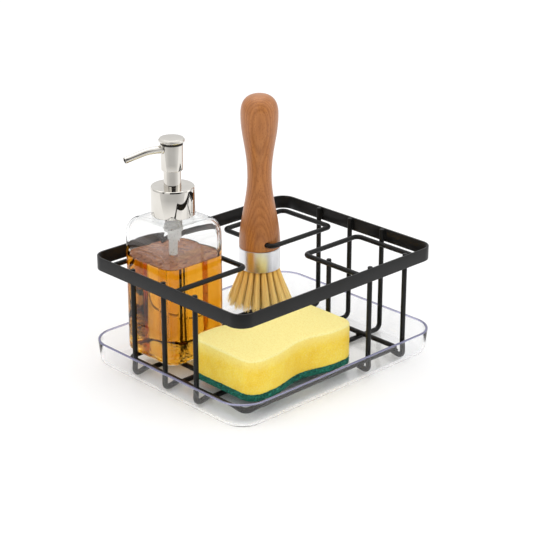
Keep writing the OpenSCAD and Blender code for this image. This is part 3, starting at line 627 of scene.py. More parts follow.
# A dark satin finish used as painted shade: in the groove under the cap, and in the spout's bore,
# where it is also the unplated inside
BORE = powder_coat("bore_shade", (0.02, 0.019, 0.017), 0.5)
WOOD = wood("brush_wood", BRUSH, (0.24, 0.07, 0.012), (0.48, 0.168, 0.034), (0.6, 0.243, 0.056))
PLUG = wood("plug_wood", BRUSH, (0.2, 0.1, 0.04), (0.4, 0.22, 0.1), (0.5, 0.3, 0.15))
FIBRE = fibre("bristle_fibre", (0.99, 0.64, 0.17), (1.0, 0.84, 0.40), ferrule_lo.z, bristle_lo.z)
FOAM = foam(foam_lo.z, foam_hi.z)
SCOURER = scourer()

CAD_MATERIALS = {
    "neck_gasket": RUBBER, "pump_housing": WHITE, "stem_guide": WHITE, "inlet_ball": STEEL,
    "dip_tube": TUBE, "return_spring": STEEL, "collar_liner": WHITE, "piston": WHITE,
    "piston_stem": WHITE, "bristle_plug": PLUG,
}
for node, material in CAD_MATERIALS.items():
    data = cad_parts[node].data
    data.materials.clear()
    data.materials.append(material)


# tray

TRAY_WALL, TRAY_FLOOR, TRAY_DRAFT, TRAY_FOOT_R, TRAY_CORNER = 2.4, 2.0, 2.5, 8.0, 26.0
FLAT_END, FLAT_MID = 8, 1.5

rim_z = tray_hi.z
foot_side = TRAY_CORNER - TRAY_DRAFT * (1 - TRAY_FOOT_R / rim_z)
foot_u = foot_side - TRAY_FOOT_R
inner_r = TRAY_FOOT_R - TRAY_FLOOR
inner_u = foot_side - TRAY_WALL - inner_r
lip = TRAY_WALL / 2 - 0.15
section = (
    [(foot_u - FLAT_END, 0), (foot_u - FLAT_MID, 0)]
    + arc(foot_u, TRAY_FOOT_R, TRAY_FOOT_R, 270, 360, 30)
    + arc(TRAY_CORNER - lip - 0.1, rim_z - lip, lip, 0, 90, 6)[:-1]
    + arc(TRAY_CORNER - TRAY_WALL + lip, rim_z - lip, lip, 90, 180, 6)
    + arc(inner_u, TRAY_FOOT_R, inner_r, 360, 270, 24)
    + [(inner_u - FLAT_MID, TRAY_FLOOR), (inner_u - FLAT_END, TRAY_FLOOR)]
)
core = (tray_hi.x - TRAY_CORNER, tray_hi.y - TRAY_CORNER)
shell = swept(section, core, n=16)
piece("tray_shell", *shell, "tray", "clear_acrylic", ACRYLIC, 30, ["drip_tray"])


# basket

BAND_T, BAND_R, SOFT = 2.0, 14.0, 0.45
FOOT_BEND = 5.5
LOOP_BENDS = {"base_ring": 6.0, "bottle_loop": 5.5, "brush_loop": 5.5, "side_loop": 5.5}
BEND_STEPS = 10
FLOOR_WIRES = ("back", "middle", "front")
LEGS = ("front_leg_inner", "front_leg_outer", "back_leg_inner", "back_leg_outer")

section = (
    arc(BAND_R - SOFT, band_lo.z + SOFT, SOFT, 270, 360, 3)
    + arc(BAND_R - SOFT, band_hi.z - SOFT, SOFT, 0, 90, 3)
    + arc(BAND_R - BAND_T + SOFT, band_hi.z - SOFT, SOFT, 90, 180, 3)
    + arc(BAND_R - BAND_T + SOFT, band_lo.z + SOFT, SOFT, 180, 270, 3)
)
core = (band_hi.x - BAND_R, band_hi.y - BAND_R)
band = swept(section, core, n=14, closed=True)
piece("band", *band, "basket", "black_band", BLACK_BAND, 50, ["rim_band"])


def basket_tube(name, path, node, closed=False):
    piece(name, *tube(path, WIRE, closed=closed), "basket", "black_wire", BLACK_WIRE, 60, [node])


for side in FLOOR_WIRES:
    lo, hi = box("floor_wire_" + side)
    y = middle(lo, hi)[1]
    run, x = lo.z + WIRE, hi.x - WIRE
    corners = [(-x, y, hi.z), (-x, y, run), (x, y, run), (x, y, hi.z)]
    path = bent(corners, [FOOT_BEND] * 4, BEND_STEPS)
    basket_tube("floor_run_" + side, path, "floor_wire_" + side)

for name in LEGS:
    lo, hi = box(name)
    x, run = middle(lo, hi)[0], lo.z + WIRE
    near, far = (lo.y + WIRE, hi.y) if name.startswith("front") else (hi.y - WIRE, lo.y)
    corners = [(x, near, hi.z), (x, near, run), (x, far, run)]
    basket_tube(name + "_bent", bent(corners, [FOOT_BEND] * 3, BEND_STEPS), name)

for name in ("cross_wire_left", "cross_wire_middle", "cross_wire_right"):
    lo, hi = box(name)
    x, z = middle(lo, hi)[0], (lo.z + hi.z) / 2
    basket_tube(name + "_run", [(x, lo.y, z), (x, 0, z), (x, hi.y, z)], name)

lo, hi = box("divider_post")
x, y = middle(lo, hi)
basket_tube("divider_run", [(x, y, lo.z), (x, y, 50), (x, y, hi.z)], "divider_post")

for name, bend_r in LOOP_BENDS.items():
    lo, hi = box(name)
    z = (lo.z + hi.z) / 2
    half_x, half_y = (hi.x - lo.x) / 2 - WIRE - bend_r, (hi.y - lo.y) / 2 - WIRE - bend_r
    path = square_turn(middle(lo, hi), (half_x, half_y), bend_r, z, BEND_STEPS)
    basket_tube(name + "_bent", path, name, closed=True)

# Weld beads: where a bead sits beside its wire, and half its size each way
BAND_WELD_OFF, RING_WELD_OFF, LEG_WELD_OFF = 1.9, 1.7, 1.71
BAND_WELD_IN, BAND_WELD_UP = 0.7, 5.5
BAND_WELD, RING_WELD, BLOB_ROWS, BLOB_SEGS = (1.0, 0.9, 3.4), (2.0, 0.9, 0.9), 10, 12

weld_v, weld_f = [], []


def blob(centre, size):
    """A small weld bead: a lumpy ellipsoid."""
    rows = []
    for k in range(1, BLOB_ROWS):
        v = math.pi * k / BLOB_ROWS
        rows.append((len(weld_v), BLOB_SEGS))
        for i in range(BLOB_SEGS):
            a = TAU * i / BLOB_SEGS
            d = Vector((math.sin(v) * math.cos(a), math.sin(v) * math.sin(a), math.cos(v)))
            lump = 1 + 0.12 * noise.noise(d * 1.7 + Vector(centre))
            weld_v.append(tuple(Vector(centre) + d * Vector(size) * lump))
    weld_f.extend(strips(rows) + [row_faces(rows[0]), tuple(reversed(row_faces(rows[-1])))])


def crosswise(size):
    """A bead's size for a wire that runs the other way."""
    return size[1], size[0], size[2]


band_in_x, band_in_y = (c - BAND_T - BAND_WELD_IN for c in (band_hi.x, band_hi.y))
ring_lo, ring_hi = box("base_ring")
weld_z = band_lo.z + BAND_WELD_UP
for side in FLOOR_WIRES:
    y = middle(*box("floor_wire_" + side))[1]
    for x in (-band_in_x, band_in_x):
        for off in (-BAND_WELD_OFF, BAND_WELD_OFF):
            blob((x, y + off, weld_z), BAND_WELD)
    for x in (ring_lo.x + WIRE, ring_hi.x - WIRE):
        for off in (-RING_WELD_OFF, RING_WELD_OFF):
            blob((x, y + off, ring_lo.z), RING_WELD)
for name in LEGS:
    x = middle(*box(name))[0]
    front = name.startswith("front")
    for sign in (-1, 1):
        band_y = -band_in_y if front else band_in_y
        ring_y = ring_lo.y + WIRE if front else ring_hi.y - WIRE
        blob((x + sign * BAND_WELD_OFF, band_y, weld_z), crosswise(BAND_WELD))
        blob((x + sign * LEG_WELD_OFF, ring_y, ring_lo.z), crosswise(RING_WELD))
piece("weld_beads", weld_v, weld_f, "basket", "black_wire", BLACK_WIRE, ALL_SMOOTH)


# bottle and soap

# Below the liquid's level the glass is solid, and the tinted body lies inside it, so the sides
# look as full of liquid as they do through real glass
EDGE, GLASS_WALL, GLASS_BASE, SHOULDER_RISE = 13.0, 2.6, 5.2, 16.0
SHOULDER_TOP = glass_lo.z + 127.5
NECK_R, NECK_BORE, BEAD_OUT, BEAD_STEP = 13.2, 10.2, 0.6, 3.2
TINT_IN = 0.5
# The corner radius of the flat faces that close the forms at their middle
CLOSE_R = 2

z0, fill, neck_top = glass_lo.z, soap_hi.z, glass_hi.z
corner_at = (glass_hi.x - glass_lo.x) / 2 - EDGE
core = (corner_at, corner_at)
outer = (
    [(CLOSE_R, z0 + 1.1), (EDGE - 8, z0 + 0.9), (EDGE - 5.4, z0 + 0.25)]
    + arc(EDGE - 4, z0 + 4, 4, 270, 360, 8)
    + [(EDGE, z0 + 40), (EDGE, z0 + 80)]
    + arc(0, SHOULDER_TOP - SHOULDER_RISE, EDGE, 0, 90, 16, SHOULDER_RISE)[:-1]
)
verts, faces = swept(outer, core, BOTTLE)
faces.pop()


def circle(r, z):
    """A level of the neck."""
    return r, r - 0.01, z


def levels_above(levels):
    """Levels of the bottle as (half width, corner radius, height above the shoulder)."""
    return [(half, r, SHOULDER_TOP + z) for half, r, z in levels]


levels = levels_above([(corner_at - 0.6, 3.4, 0.05), (19, 8.5, 0.3), (17, 13, 0.6)])
levels += levels_above([(15.6, 15.5, 0.9), (14.4, 14.35, 1.4), circle(NECK_R, 2.5)])
z = SHOULDER_TOP + 3.6
while z < neck_top - 2:
    levels += [circle(NECK_R, z), circle(NECK_R + BEAD_OUT, z + 0.6), circle(NECK_R, z + 1.2)]
    z += BEAD_STEP
levels += [circle(NECK_R, neck_top - 0.5), circle(NECK_R - 0.5, neck_top)]
levels += [circle(NECK_BORE + 0.5, neck_top), circle(NECK_BORE, neck_top - 0.5)]
levels += levels_above([circle(NECK_BORE, -0.6), circle(11.4, 1.1 - GLASS_WALL)])
levels += levels_above([
    (14, 13.9, 0.6 - GLASS_WALL), (17.5, 10, 0.2 - GLASS_WALL), (corner_at - 1, 3.5, -GLASS_WALL)
])
size = 4 * (CORNER_STEPS + 1)
rows = [(len(verts) - size, size)]
for half, r, z in levels:
    rows.append((len(verts), size))
    verts += square_turn(BOTTLE, (half - r, half - r), r, z)
faces += strips(rows)

# The cavity above the liquid, whose floor turns up at the walls
cavity_u = EDGE - GLASS_WALL
inside = arc(
    0, SHOULDER_TOP - SHOULDER_RISE, cavity_u, 90, 0, 14, SHOULDER_RISE - GLASS_WALL
)[1:]
turned_up = ((0, 1.0), (0.2, 0.55), (0.7, 0.2), (1.8, 0), (5, -0.05))
inside += [(cavity_u - u, fill + z) for u, z in turned_up] + [(CLOSE_R, fill - 0.05)]
more_verts, more_faces = swept(inside, core, BOTTLE)
more_faces.pop(-2)
base = len(verts)
verts += more_verts
faces += [tuple(base + i for i in f) for f in more_faces]
faces += strips([(rows[-1][0], size), (base, size)])
piece("bottle_shell", verts, faces, "bottle", "bottle_glass", GLASS, ALL_SMOOTH, ["glass_bottle"])

film = [(cavity_u - u, fill + z) for u, z in (
    (5, -0.1), (1.8, -0.05), (0.5, 0.3), (0.05, 0.8), (0.2, 1.0), (0.9, 0.35), (2.2, 0.1), (5, 0.05)
)]
film = [(CLOSE_R, fill - 0.1)] + film + [(CLOSE_R, fill + 0.05)]
film = swept(film, core, BOTTLE)
piece("soap_surface", *film, "bottle", "amber_soap", FILM, ALL_SMOOTH)


def uneven(p):
    """The inside of a pressed glass base is uneven."""
    if p[2] > z0 + GLASS_BASE + 6:
        return p
    q = Vector(p) * 0.16
    lift = 1.3 * noise.noise(q) + 0.7 * noise.noise(q * 2.3)
    return (p[0], p[1], p[2] + lift)


reach = EDGE - TINT_IN
liquid = [(CLOSE_R, z0 + GLASS_BASE - 1.3), (reach - 8, z0 + GLASS_BASE - 0.7)]
liquid += arc(reach - 6, z0 + GLASS_BASE + 5, 6, -90, 0, 8, 5.5)
liquid += [(reach, z0 + 30), (reach, z0 + 60), (reach, fill - 6), (reach, fill - 0.1)]
liquid += [(reach - 0.4, fill - 0.12), (reach - 2.0, fill - 0.15), (reach - 5, fill - 0.15)]
verts, faces = swept(liquid, core, BOTTLE)
verts = [uneven(v) for v in verts]
piece("soap_body", verts, faces, "bottle", "amber_soap", SOAP, 40, ["soap_fill"])


# pump

GUIDE_R, GUIDE_BORE, GUIDE_FLANGE_R, GUIDE_FLANGE_T = 7.8, 6.9, 12, 1.15
HEAD_BORE, HEAD_ROOF, CAP_BORE = 8.4, 7.8, 8.6


def turned(name, profile, radii, body, node, segs=128, smooth=40):
    """A polished piece turned about the bottle's axis, its edges rounded to the radii."""
    mesh = lathe(bent(profile, radii, 5), BOTTLE, segs)
    piece(name, *mesh, body, "nickel", NICKEL, smooth, [node])


r, lo, hi = (collar_hi.x - collar_lo.x) / 2, collar_lo.z, collar_hi.z
hole = GUIDE_R + 0.05
profile = [
    (hole, hi - 1), (r - 1.5, hi - 1), (r - 1, lo), (r, lo), (r, hi - 1.6), (r - 0.42, hi - 0.3),
    (r - 0.9, hi), (hole, hi), (hole, hi - 1),
]
turned("collar", profile, [0, 0.1, 0.2, 0.3, 0.3, 0.2, 0.2, 0.1, 0], "pump", "collar_shell")

lo, hi, flange_z = guide_lo.z, guide_hi.z, guide_lo.z + GUIDE_FLANGE_T
profile = [
    (GUIDE_BORE, lo), (GUIDE_FLANGE_R, lo), (GUIDE_FLANGE_R, flange_z), (GUIDE_R, flange_z),
    (GUIDE_R, hi), (GUIDE_BORE, hi), (GUIDE_BORE, lo),
]
turned("guide", profile, [0, 0.1, 0.1, 0.02, 0.3, 0.2, 0], "pump", "guide_neck", 96)

r_head = (head_hi.x - head_lo.x) / 2
lo, hi = head_lo.z, head_hi.z
profile = [(0, hi - HEAD_ROOF), (HEAD_BORE, hi - HEAD_ROOF), (HEAD_BORE, lo)]
profile += [(r_head - 0.15, lo), (r_head, hi), (0, hi)]
turned("head_shell", profile, [0, 0.2, 0.3, 0.6, 0.3, 0], "head", "pump_head")

# Painted shade: a thin dark ring round the joint under the cap, for the shade in the groove there
groove_shade = [(-0.4, -0.9), (0.04, -0.9), (0.04, 0.6), (-0.4, 0.6)]
groove_shade = lathe([(r_head + u, cap_lo.z + z) for u, z in groove_shade], BOTTLE, 96)
piece("cap_groove_shade", *groove_shade, "head", None, BORE, 30)

r, lo, hi = (cap_hi.x - cap_lo.x) / 2, cap_lo.z, cap_hi.z
profile = [
    (0, lo), (CAP_BORE, lo), (CAP_BORE, lo + 0.7), (r - 1.5, lo + 0.75), (r, lo + 2.1),
    (r, hi - 1.5), (r - 1.3, hi), (0, hi),
]
turned("cap_disc", profile, [0, 0, 0.1, 0.5, 0.6, 0.8, 0.7, 0], "head", "head_cap", smooth=45)

# The spout leaves the head level, bows down and ends straight
SPOUT_TURN, SPOUT_DROOP = math.radians(165), math.radians(13.0)
SPOUT_REACH, SPOUT_ROOT_R, SPOUT_TIP_R, SPOUT_BELOW_TOP, SPOUT_START = 45.0, 3.5, 2.9, 0.76, 6.0
SPOUT_SEGS, BOW_STEPS = 36, 10

spout_z = head_hi.z - SPOUT_ROOT_R - SPOUT_BELOW_TOP
way = Vector((math.cos(SPOUT_TURN), math.sin(SPOUT_TURN), 0))
straight, bow_r = SPOUT_REACH * 0.42, SPOUT_REACH * 0.9
line = [(d, 0.0) for d in (SPOUT_START, 9.0, 13.0, 17.0, straight)]
for i in range(1, BOW_STEPS + 1):
    a = SPOUT_DROOP * i / BOW_STEPS
    line.append((straight + bow_r * math.sin(a), bow_r * (math.cos(a) - 1)))
bow_d, bow_h = line[-1]
for t in (0.25, 0.5, 0.75, 1.0):
    d = bow_d + (SPOUT_REACH - bow_d) * t
    line.append((d, bow_h - math.tan(SPOUT_DROOP) * (d - bow_d)))
path = [Vector((*BOTTLE, spout_z)) + way * d + UP * h for d, h in line]
tip = path[-1]
tip_d = (tip - path[-2]).normalized()


def spout_mesh(rings):
    """Vertices and rows of rings given as (middle, direction, radius)."""
    verts, rows = [], []
    for p, d, r in rings:
        side = (UP - d * d.z).normalized()
        rows.append(ring(verts, p, side, d.cross(side), r, SPOUT_SEGS))
    return verts, rows


rings = []
last = len(path) - 1
for k, p in enumerate(path):
    d = (path[min(k + 1, last)] - path[max(k - 1, 0)]).normalized()
    r = SPOUT_ROOT_R + (SPOUT_TIP_R - SPOUT_ROOT_R) * k / last
    rings.append((p - d * 0.35 if k == last else p, d, r))
for back, r in ((0.1, 2.85), (0.0, 2.72), (0.0, 2.5), (0.15, 2.4), (8, 2.3)):
    rings.append((tip - tip_d * back, tip_d, r))
verts, rows = spout_mesh(rings)
piece("spout_tube", verts, capped(rows), "head", "nickel", NICKEL, 50, ["spout"])

# A dark lining in the spout's mouth: the unplated inside of the nozzle, and painted shade deeper in
# the bore
verts, rows = spout_mesh(
    [(tip - tip_d * back, tip_d, r) for back, r in ((0.3, 2.385), (2, 2.33), (5, 2.25))]
)
faces = strips(rows) + [row_faces(rows[-1])]
piece("spout_bore", verts, faces, "head", None, BORE, 50)

root = path[0] + way * (r_head - SPOUT_START)
verts, rows = spout_mesh([
    (root + way * out, way, r)
    for out, r in ((-0.6, 4.4), (0.25, 4.35), (0.7, 4.1), (0.95, 3.7), (1.0, 3.45))
])
piece("spout_root", verts, strips(rows), "head", "nickel", NICKEL, 60)


# brush

FOOT_R, WAIST_R, KNOB_R, TENON_R = 19.4, 11.4, 17.5, 18.4
FOOT_AT, WAIST_AT, KNOB_AT, KNOB_FLAT = 0.02, 0.472, 0.868, 0.78
SHRINK, HANDLE_STEPS, KNOB_STEPS = 0.03, 60, 24
HOLE, HOLE_MOUTH = WIRE + 0.4, 3.4

foot_z = ferrule_hi.z
tall = handle_hi.z - foot_z


def ease(t):
    return (1 - math.cos(math.pi * t)) / 2


def handle_radius(s):
    """The handle's radius at a share s of its height."""
    if s < FOOT_AT:
        return FOOT_R
    if s < WAIST_AT:
        return FOOT_R + (WAIST_R - FOOT_R) * ease((s - FOOT_AT) / (WAIST_AT - FOOT_AT))
    t = (s - WAIST_AT) / (KNOB_AT - WAIST_AT)
    return WAIST_R + (KNOB_R - WAIST_R) * ease(t ** 1.1)


profile = [(0, foot_z - 6.5), (TENON_R - 0.8, foot_z - 6.5), (TENON_R - 0.1, foot_z - 5.9)]
profile += [(TENON_R, foot_z + 0.1), (FOOT_R - 0.5, foot_z + 0.12), (FOOT_R - 0.1, foot_z + 0.45)]
for i in range(1, HANDLE_STEPS + 1):
    s = KNOB_AT * i / HANDLE_STEPS
    profile.append((handle_radius(s) - SHRINK, foot_z + s * tall))
for i in range(1, KNOB_STEPS + 1):
    a = math.radians(90 * i / KNOB_STEPS)
    r = (KNOB_R - SHRINK) * math.cos(a) ** KNOB_FLAT if i < KNOB_STEPS else 0
    profile.append((r, foot_z + (KNOB_AT + (1 - KNOB_AT) * math.sin(a) ** KNOB_FLAT) * tall))
shape = lathe(profile, BRUSH, 128)
handle = piece("handle_turned", *shape, "brush", "brush_wood", WOOD, 60, ["brush_handle"])

# The hole for the loop, drilled front to back, with a small chamfer at each end
hole_x, hole_z = loop_lo.x + WIRE, (loop_lo.z + loop_hi.z) / 2
front_half = [(0, -24), (HOLE_MOUTH, -24), (HOLE_MOUTH, -18.7), (HOLE, -17.6)]
back_half = [(r, -z) for r, z in reversed(front_half)]
cut_v, cut_f = lathe(front_half + back_half, (0, 0), 40)
cutter = bpy.data.objects.new("cutter", bpy.data.meshes.new("cutter"))
cutter.data.from_pydata(
    [((hole_x + x) * MM, (BRUSH[1] + z) * MM, (hole_z + y) * MM) for x, y, z in cut_v], [],
    [tuple(reversed(f)) for f in cut_f],
)
bpy.context.scene.collection.objects.link(cutter)
drill = handle.modifiers.new("drill", "BOOLEAN")
drill.object = cutter
drill.operation = "DIFFERENCE"
drill.solver = "EXACT"
bpy.context.view_layer.update()
depsgraph = bpy.context.evaluated_depsgraph_get()
drilled = bpy.data.meshes.new_from_object(handle.evaluated_get(depsgraph))
handle.modifiers.clear()
handle.data = drilled
drilled.shade_smooth()
drilled.set_sharp_from_angle(angle=math.radians(40))
bpy.data.objects.remove(cutter)

r, lo, hi = (ferrule_hi.x - ferrule_lo.x) / 2, ferrule_lo.z, ferrule_hi.z
profile = [(r - 0.8, lo), (r, lo), (r, hi), (r - 0.8, hi), (r - 0.8, lo)]
shape = lathe(bent(profile, [0, 0.75, 0.35, 0.2, 0], 5), BRUSH, 128)
piece("ferrule_ring", *shape, "brush", "ferrule_metal", FERRULE, 50, ["ferrule"])

# Bristles: tufts in rings, each a tapered core with single strands round it
TUFT_GAP, TUFT_RINGS, TIP_R, SPLAY = 5.22, 3, 28.3, 1.08
TUFT_CORE = ((0, 1.5), (0.3, 1.9), (0.6, 2.35), (0.8, 2.6), (0.88, 1.9))
STRANDS, STRAND_STEPS, GOLDEN_TURN = 44, 5, 2.39996

verts, faces = [], []
root_z = ferrule_lo.z + 1.2
full_r = TUFT_RINGS * TUFT_GAP
spread = TIP_R / full_r


def level_ring(at, z, spots):
    """Adds a level ring of (angle, radius) points to the bristles and returns its row."""
    row = (len(verts), len(spots))
    for q, r in spots:
        verts.append((BRUSH[0] + at.x + r * math.cos(q), BRUSH[1] + at.y + r * math.sin(q), z))
    return row


def hang(rows):
    """Adds the faces of a form that hangs from its first row."""
    faces.extend([tuple(reversed(f)) for f in strips(rows)] + [row_faces(rows[-1])])


tufts = [(0.0, 0.0)]
tufts += [(k * TUFT_GAP, 60.0 * i / k) for k in range(1, TUFT_RINGS + 1) for i in range(6 * k)]
for radius, angle in tufts:
    a = math.radians(angle)
    centre = Vector((radius * math.cos(a), radius * math.sin(a)))
    length = (root_z - bristle_lo.z + 2.5) * (1 - 0.08 * (radius / full_r) ** 2)
    turn = RNG.uniform(0, 6.28)
    rows = []
    for t, r in TUFT_CORE:
        angles = [math.pi / 6 * i for i in range(12)]
        spots = [(q, r * (1 + 0.1 * math.sin(5 * q + turn))) for q in angles]
        at = centre.lerp(centre * spread, t ** SPLAY)
        rows.append(level_ring(at, root_z - length * t, spots))
    hang(rows)
    for k in range(STRANDS):
        u = math.sqrt(0.3 + 0.7 * (k + 0.5) / STRANDS)
        b = turn + k * GOLDEN_TURN
        own = Vector((u * math.cos(b), u * math.sin(b)))
        start = centre + own * 1.75
        end = centre * spread + own * (3.55 * RNG.uniform(0.75, 1.08))
        end += Vector((RNG.uniform(-0.5, 0.5), RNG.uniform(-0.5, 0.5)))
        reach_z = length * RNG.uniform(0.945, 1.0)
        bow = RNG.uniform(-0.5, 0.5)
        r0 = RNG.uniform(0.3, 0.4)
        side = Vector((-end.y, end.x)).normalized() if end.length > 1 else Vector((1, 0))
        rows = []
        for i in range(STRAND_STEPS + 1):
            t = i / STRAND_STEPS
            at = start.lerp(end, t ** SPLAY) + side * (bow * math.sin(math.pi * t))
            r = r0 * (1 - 0.25 * t) * (0.45 if i == STRAND_STEPS else 1)
            spots = [(math.pi / 2 * c + b, r) for c in range(4)]
            rows.append(level_ring(at, root_z - reach_z * t, spots))
        hang(rows)
piece("bristle_tufts", verts, faces, "brush", "bristle_fibre", FIBRE, ALL_SMOOTH, ["bristles"])


# sponge

SPONGE_WAIST, SPONGE_CORNER, SPONGE_ROUND, SPONGE_FOOT = 7.0, 14.0, 2.6, 0.6
EDGE_STEPS, TURN_STEPS, FOAM_LEVELS, PAD_LEVELS = 36, 12, 14, 9
FIBRES, FIBRE_R, FIBRE_STEPS = 3200, 0.19, 4

sponge_l, sponge_w = foam_hi.x - foam_lo.x, foam_hi.y - foam_lo.y
SPONGE = middle(foam_lo, foam_hi)


def sponge_outline(inset=0.0):
    """The waisted outline about its own middle, one half and then the same turned half round."""
    flat, c = sponge_l / 2 - SPONGE_CORNER, sponge_w / 2 - SPONGE_CORNER
    span = sponge_l * 0.31
    r = SPONGE_CORNER - inset
    pts = []
    for i in range(EDGE_STEPS + 1):
        x = flat * (1 - 2 * i / EDGE_STEPS)
        waist = SPONGE_WAIST * (1 + math.cos(math.pi * x / span)) / 2 if abs(x) < span else 0
        pts.append((x, sponge_w / 2 - waist - inset))
    for q, cy, steps in ((90, c, range(1, TURN_STEPS + 1)), (180, -c, range(TURN_STEPS))):
        for i in steps:
            a = math.radians(q + 90 * i / TURN_STEPS)
            pts.append((-flat + r * math.cos(a), cy + r * math.sin(a)))
        if q == 90:
            pts += [(-flat - r, c - 2 * c * i / TURN_STEPS) for i in range(1, TURN_STEPS)]
    return pts + [(-x, -y) for x, y in pts]


def slab(levels, cap_rings):
    """A solid through outlines at (height, inset), closed by rings that shrink to the middle."""
    verts, rows = [], []
    shares = [k / cap_rings for k in range(1, cap_rings)]
    order = [(*levels[0], share) for share in shares]
    order += [(*level, 1.0) for level in levels]
    order += [(*levels[-1], share) for share in reversed(shares)]
    for z, inset, share in order:
        outline = sponge_outline(inset)
        rows.append((len(verts), len(outline)))
        verts += [(SPONGE[0] + x * share, SPONGE[1] + y * share, z) for x, y in outline]
    return verts, capped(rows)


def outward(p):
    """The level direction from the sponge's axis to p; none close to the axis."""
    d = Vector((p.x - SPONGE[0], p.y - SPONGE[1], 0))
    return d.normalized() if d.length > 1 else Vector((0, 0, 0))


foot_z = foam_lo.z + SPONGE_FOOT
tall = foam_hi.z - foam_lo.z - SPONGE_ROUND - SPONGE_FOOT
levels = [(foam_lo.z, 0.35), (foot_z, 0.15)]
levels += [(foot_z + tall * k / FOAM_LEVELS, 0.1) for k in range(1, FOAM_LEVELS + 1)]
crown = arc(0, foam_hi.z - SPONGE_ROUND, SPONGE_ROUND, 12, 90, 6)
levels += [(z, 0.1 + SPONGE_ROUND - u) for u, z in crown]
verts, faces = slab(levels, 22)
soft = []
for p in map(Vector, verts):
    lift = 0.16 * noise.noise(p * 0.09) + 0.10 * noise.noise(p * 0.45)
    sag = 0.25 * noise.noise(p * 0.05 + Vector((5, 1, 2))) if p.z > foam_hi.z - 3 else 0
    soft.append(tuple(p + outward(p) * lift - UP * abs(sag)))
sponge = piece(
    "foam_block", soft, faces, "sponge", "yellow_foam", FOAM, ALL_SMOOTH, ["sponge_foam"]
)

tall = pad_hi.z - pad_lo.z - 0.7
levels = [(pad_lo.z, 0.9), (pad_lo.z + 0.5, 0.45)]
levels += [(pad_lo.z + 0.5 + tall * k / PAD_LEVELS, 0.4) for k in range(1, PAD_LEVELS + 1)]
levels += [(pad_hi.z - 0.02, 0.5)]
verts, faces = slab(levels, 16)
rough = []
for p in map(Vector, verts):
    swell = 0.45 * noise.noise(p * 0.9) + 0.3 * noise.noise(p * 2.3)
    rough.append(tuple(p + outward(p) * swell))
piece(
    "scouring_web", rough, faces, "sponge", "green_scourer", SCOURER, ALL_SMOOTH, ["scouring_pad"]
)

# The pad's ragged edge: short arched fibres along its outline
verts, faces = [], []
edge = sponge_outline(0.4)
for _ in range(FIBRES):
    i = RNG.randrange(len(edge))
    x, y = edge[i]
    nx, ny = edge[(i + 1) % len(edge)]
    f = RNG.random()
    z = RNG.uniform(pad_lo.z + 0.4, pad_hi.z + 0.5)
    p = Vector((SPONGE[0] + x + (nx - x) * f, SPONGE[1] + y + (ny - y) * f, z))
    along = Vector((nx - x, ny - y, 0)).normalized()
    out = Vector((along.y, -along.x, 0))
    if out.dot(Vector((x, y, 0))) < 0:
        out = -out
    a = RNG.uniform(-0.8, 0.8) + (math.pi if RNG.random() < 0.5 else 0)
    d = along * math.cos(a) + UP * math.sin(a)
    length, arch = RNG.uniform(1.0, 2.6), RNG.uniform(0.25, 0.75)
    rows = []
    for j in range(FIBRE_STEPS + 1):
        t = j / FIBRE_STEPS
        at = p + d * (length * (t - 0.5)) + out * (arch * math.sin(math.pi * t) - 0.25)
        at.z = min(max(at.z, pad_lo.z + 0.1), pad_hi.z + 1.1)
        rows.append(ring(verts, at, out, d.cross(out), FIBRE_R, 3))
    faces += strips(rows)
piece("scouring_fibres", verts, faces, "sponge", "green_scourer", SCOURER, ALL_SMOOTH)


# floor, light and camera, in metres

FLOOR_REACH, FLOOR_DROP = 60, 0.0002
SKY = ((0.0, 0.62), (0.18, 0.70), (0.45, 0.86), (0.8, 1.0))
SKY_STRENGTH, DARK_WAY = 1.08, (-0.684, -0.716, 0.139)
TOWARDS, ASIDE = Vector((-0.6906, -0.7233, 0)), Vector((0.7233, -0.6906, 0))
CARD_NEAR, CARD_FAR, CARD_SIDE, CARD_Z = 0.22, 1.8, 1.6, 0.003
AIM = Vector((0, 0, 0.08))
LAMPS = (
    ("overhead", (0.25, 0.55, 1.9), (1.6, 1.6), 7),
    ("left_box", (-1.5, -0.5, 1.1), (0.9, 1.3), 3),
    ("right_box", (1.3, -1.1, 0.9), (0.7, 1.2), 2),
)
# The camera as fitted to the photo: degrees, millimetres and pixels
AZ, EL, DIST, FOCAL, FRAME_PX = -43.674, 21.685, 1505.95, 1620.7, 533
TARGET = Vector((29.424, 27.808, 72.5))
SENSOR = 36


def link(name, data):
    ob = bpy.data.objects.new(name, data)
    bpy.context.scene.collection.objects.link(ob)
    return ob


def sheet(name, corners, material):
    """A flat sheet of the studio, which isn't part of the object."""
    mesh = bpy.data.meshes.new(name)
    mesh.from_pydata([tuple(c) for c in corners], [], [(0, 1, 2, 3)])
    mesh.materials.append(material)
    ob = link(name, mesh)
    ob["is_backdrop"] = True
    return ob


def card_grey():
    """Darker towards the camera's side, and fading in with the distance from the bottle."""
    m = Nodes("front_card", Roughness=0.9, Specular_IOR_Level=0.0)
    here = (BOTTLE[0] * MM, BOTTLE[1] * MM, CARD_Z)
    at = m.add("TexCoord", out="Object")
    off = m.add("VectorMath", operation="SUBTRACT", inputs={0: at, 1: here})
    way = m.add("VectorMath", operation="NORMALIZE", inputs={0: off})
    facing = m.add(
        "VectorMath", out="Value", operation="DOT_PRODUCT", inputs={0: way, 1: tuple(TOWARDS)}
    )
    far = m.add("VectorMath", out="Value", operation="LENGTH", inputs={0: off})
    grey = m.ramp(facing, [(0.0, 0.86), (0.3, 0.72), (0.6, 0.64), (0.93, 0.5)])
    near = m.ramp(far, [(0.3, 0.0), (0.44, 1.0)])
    return m.wire(Base_Color=m.mix(near, (0.9, 0.9, 0.9), grey))


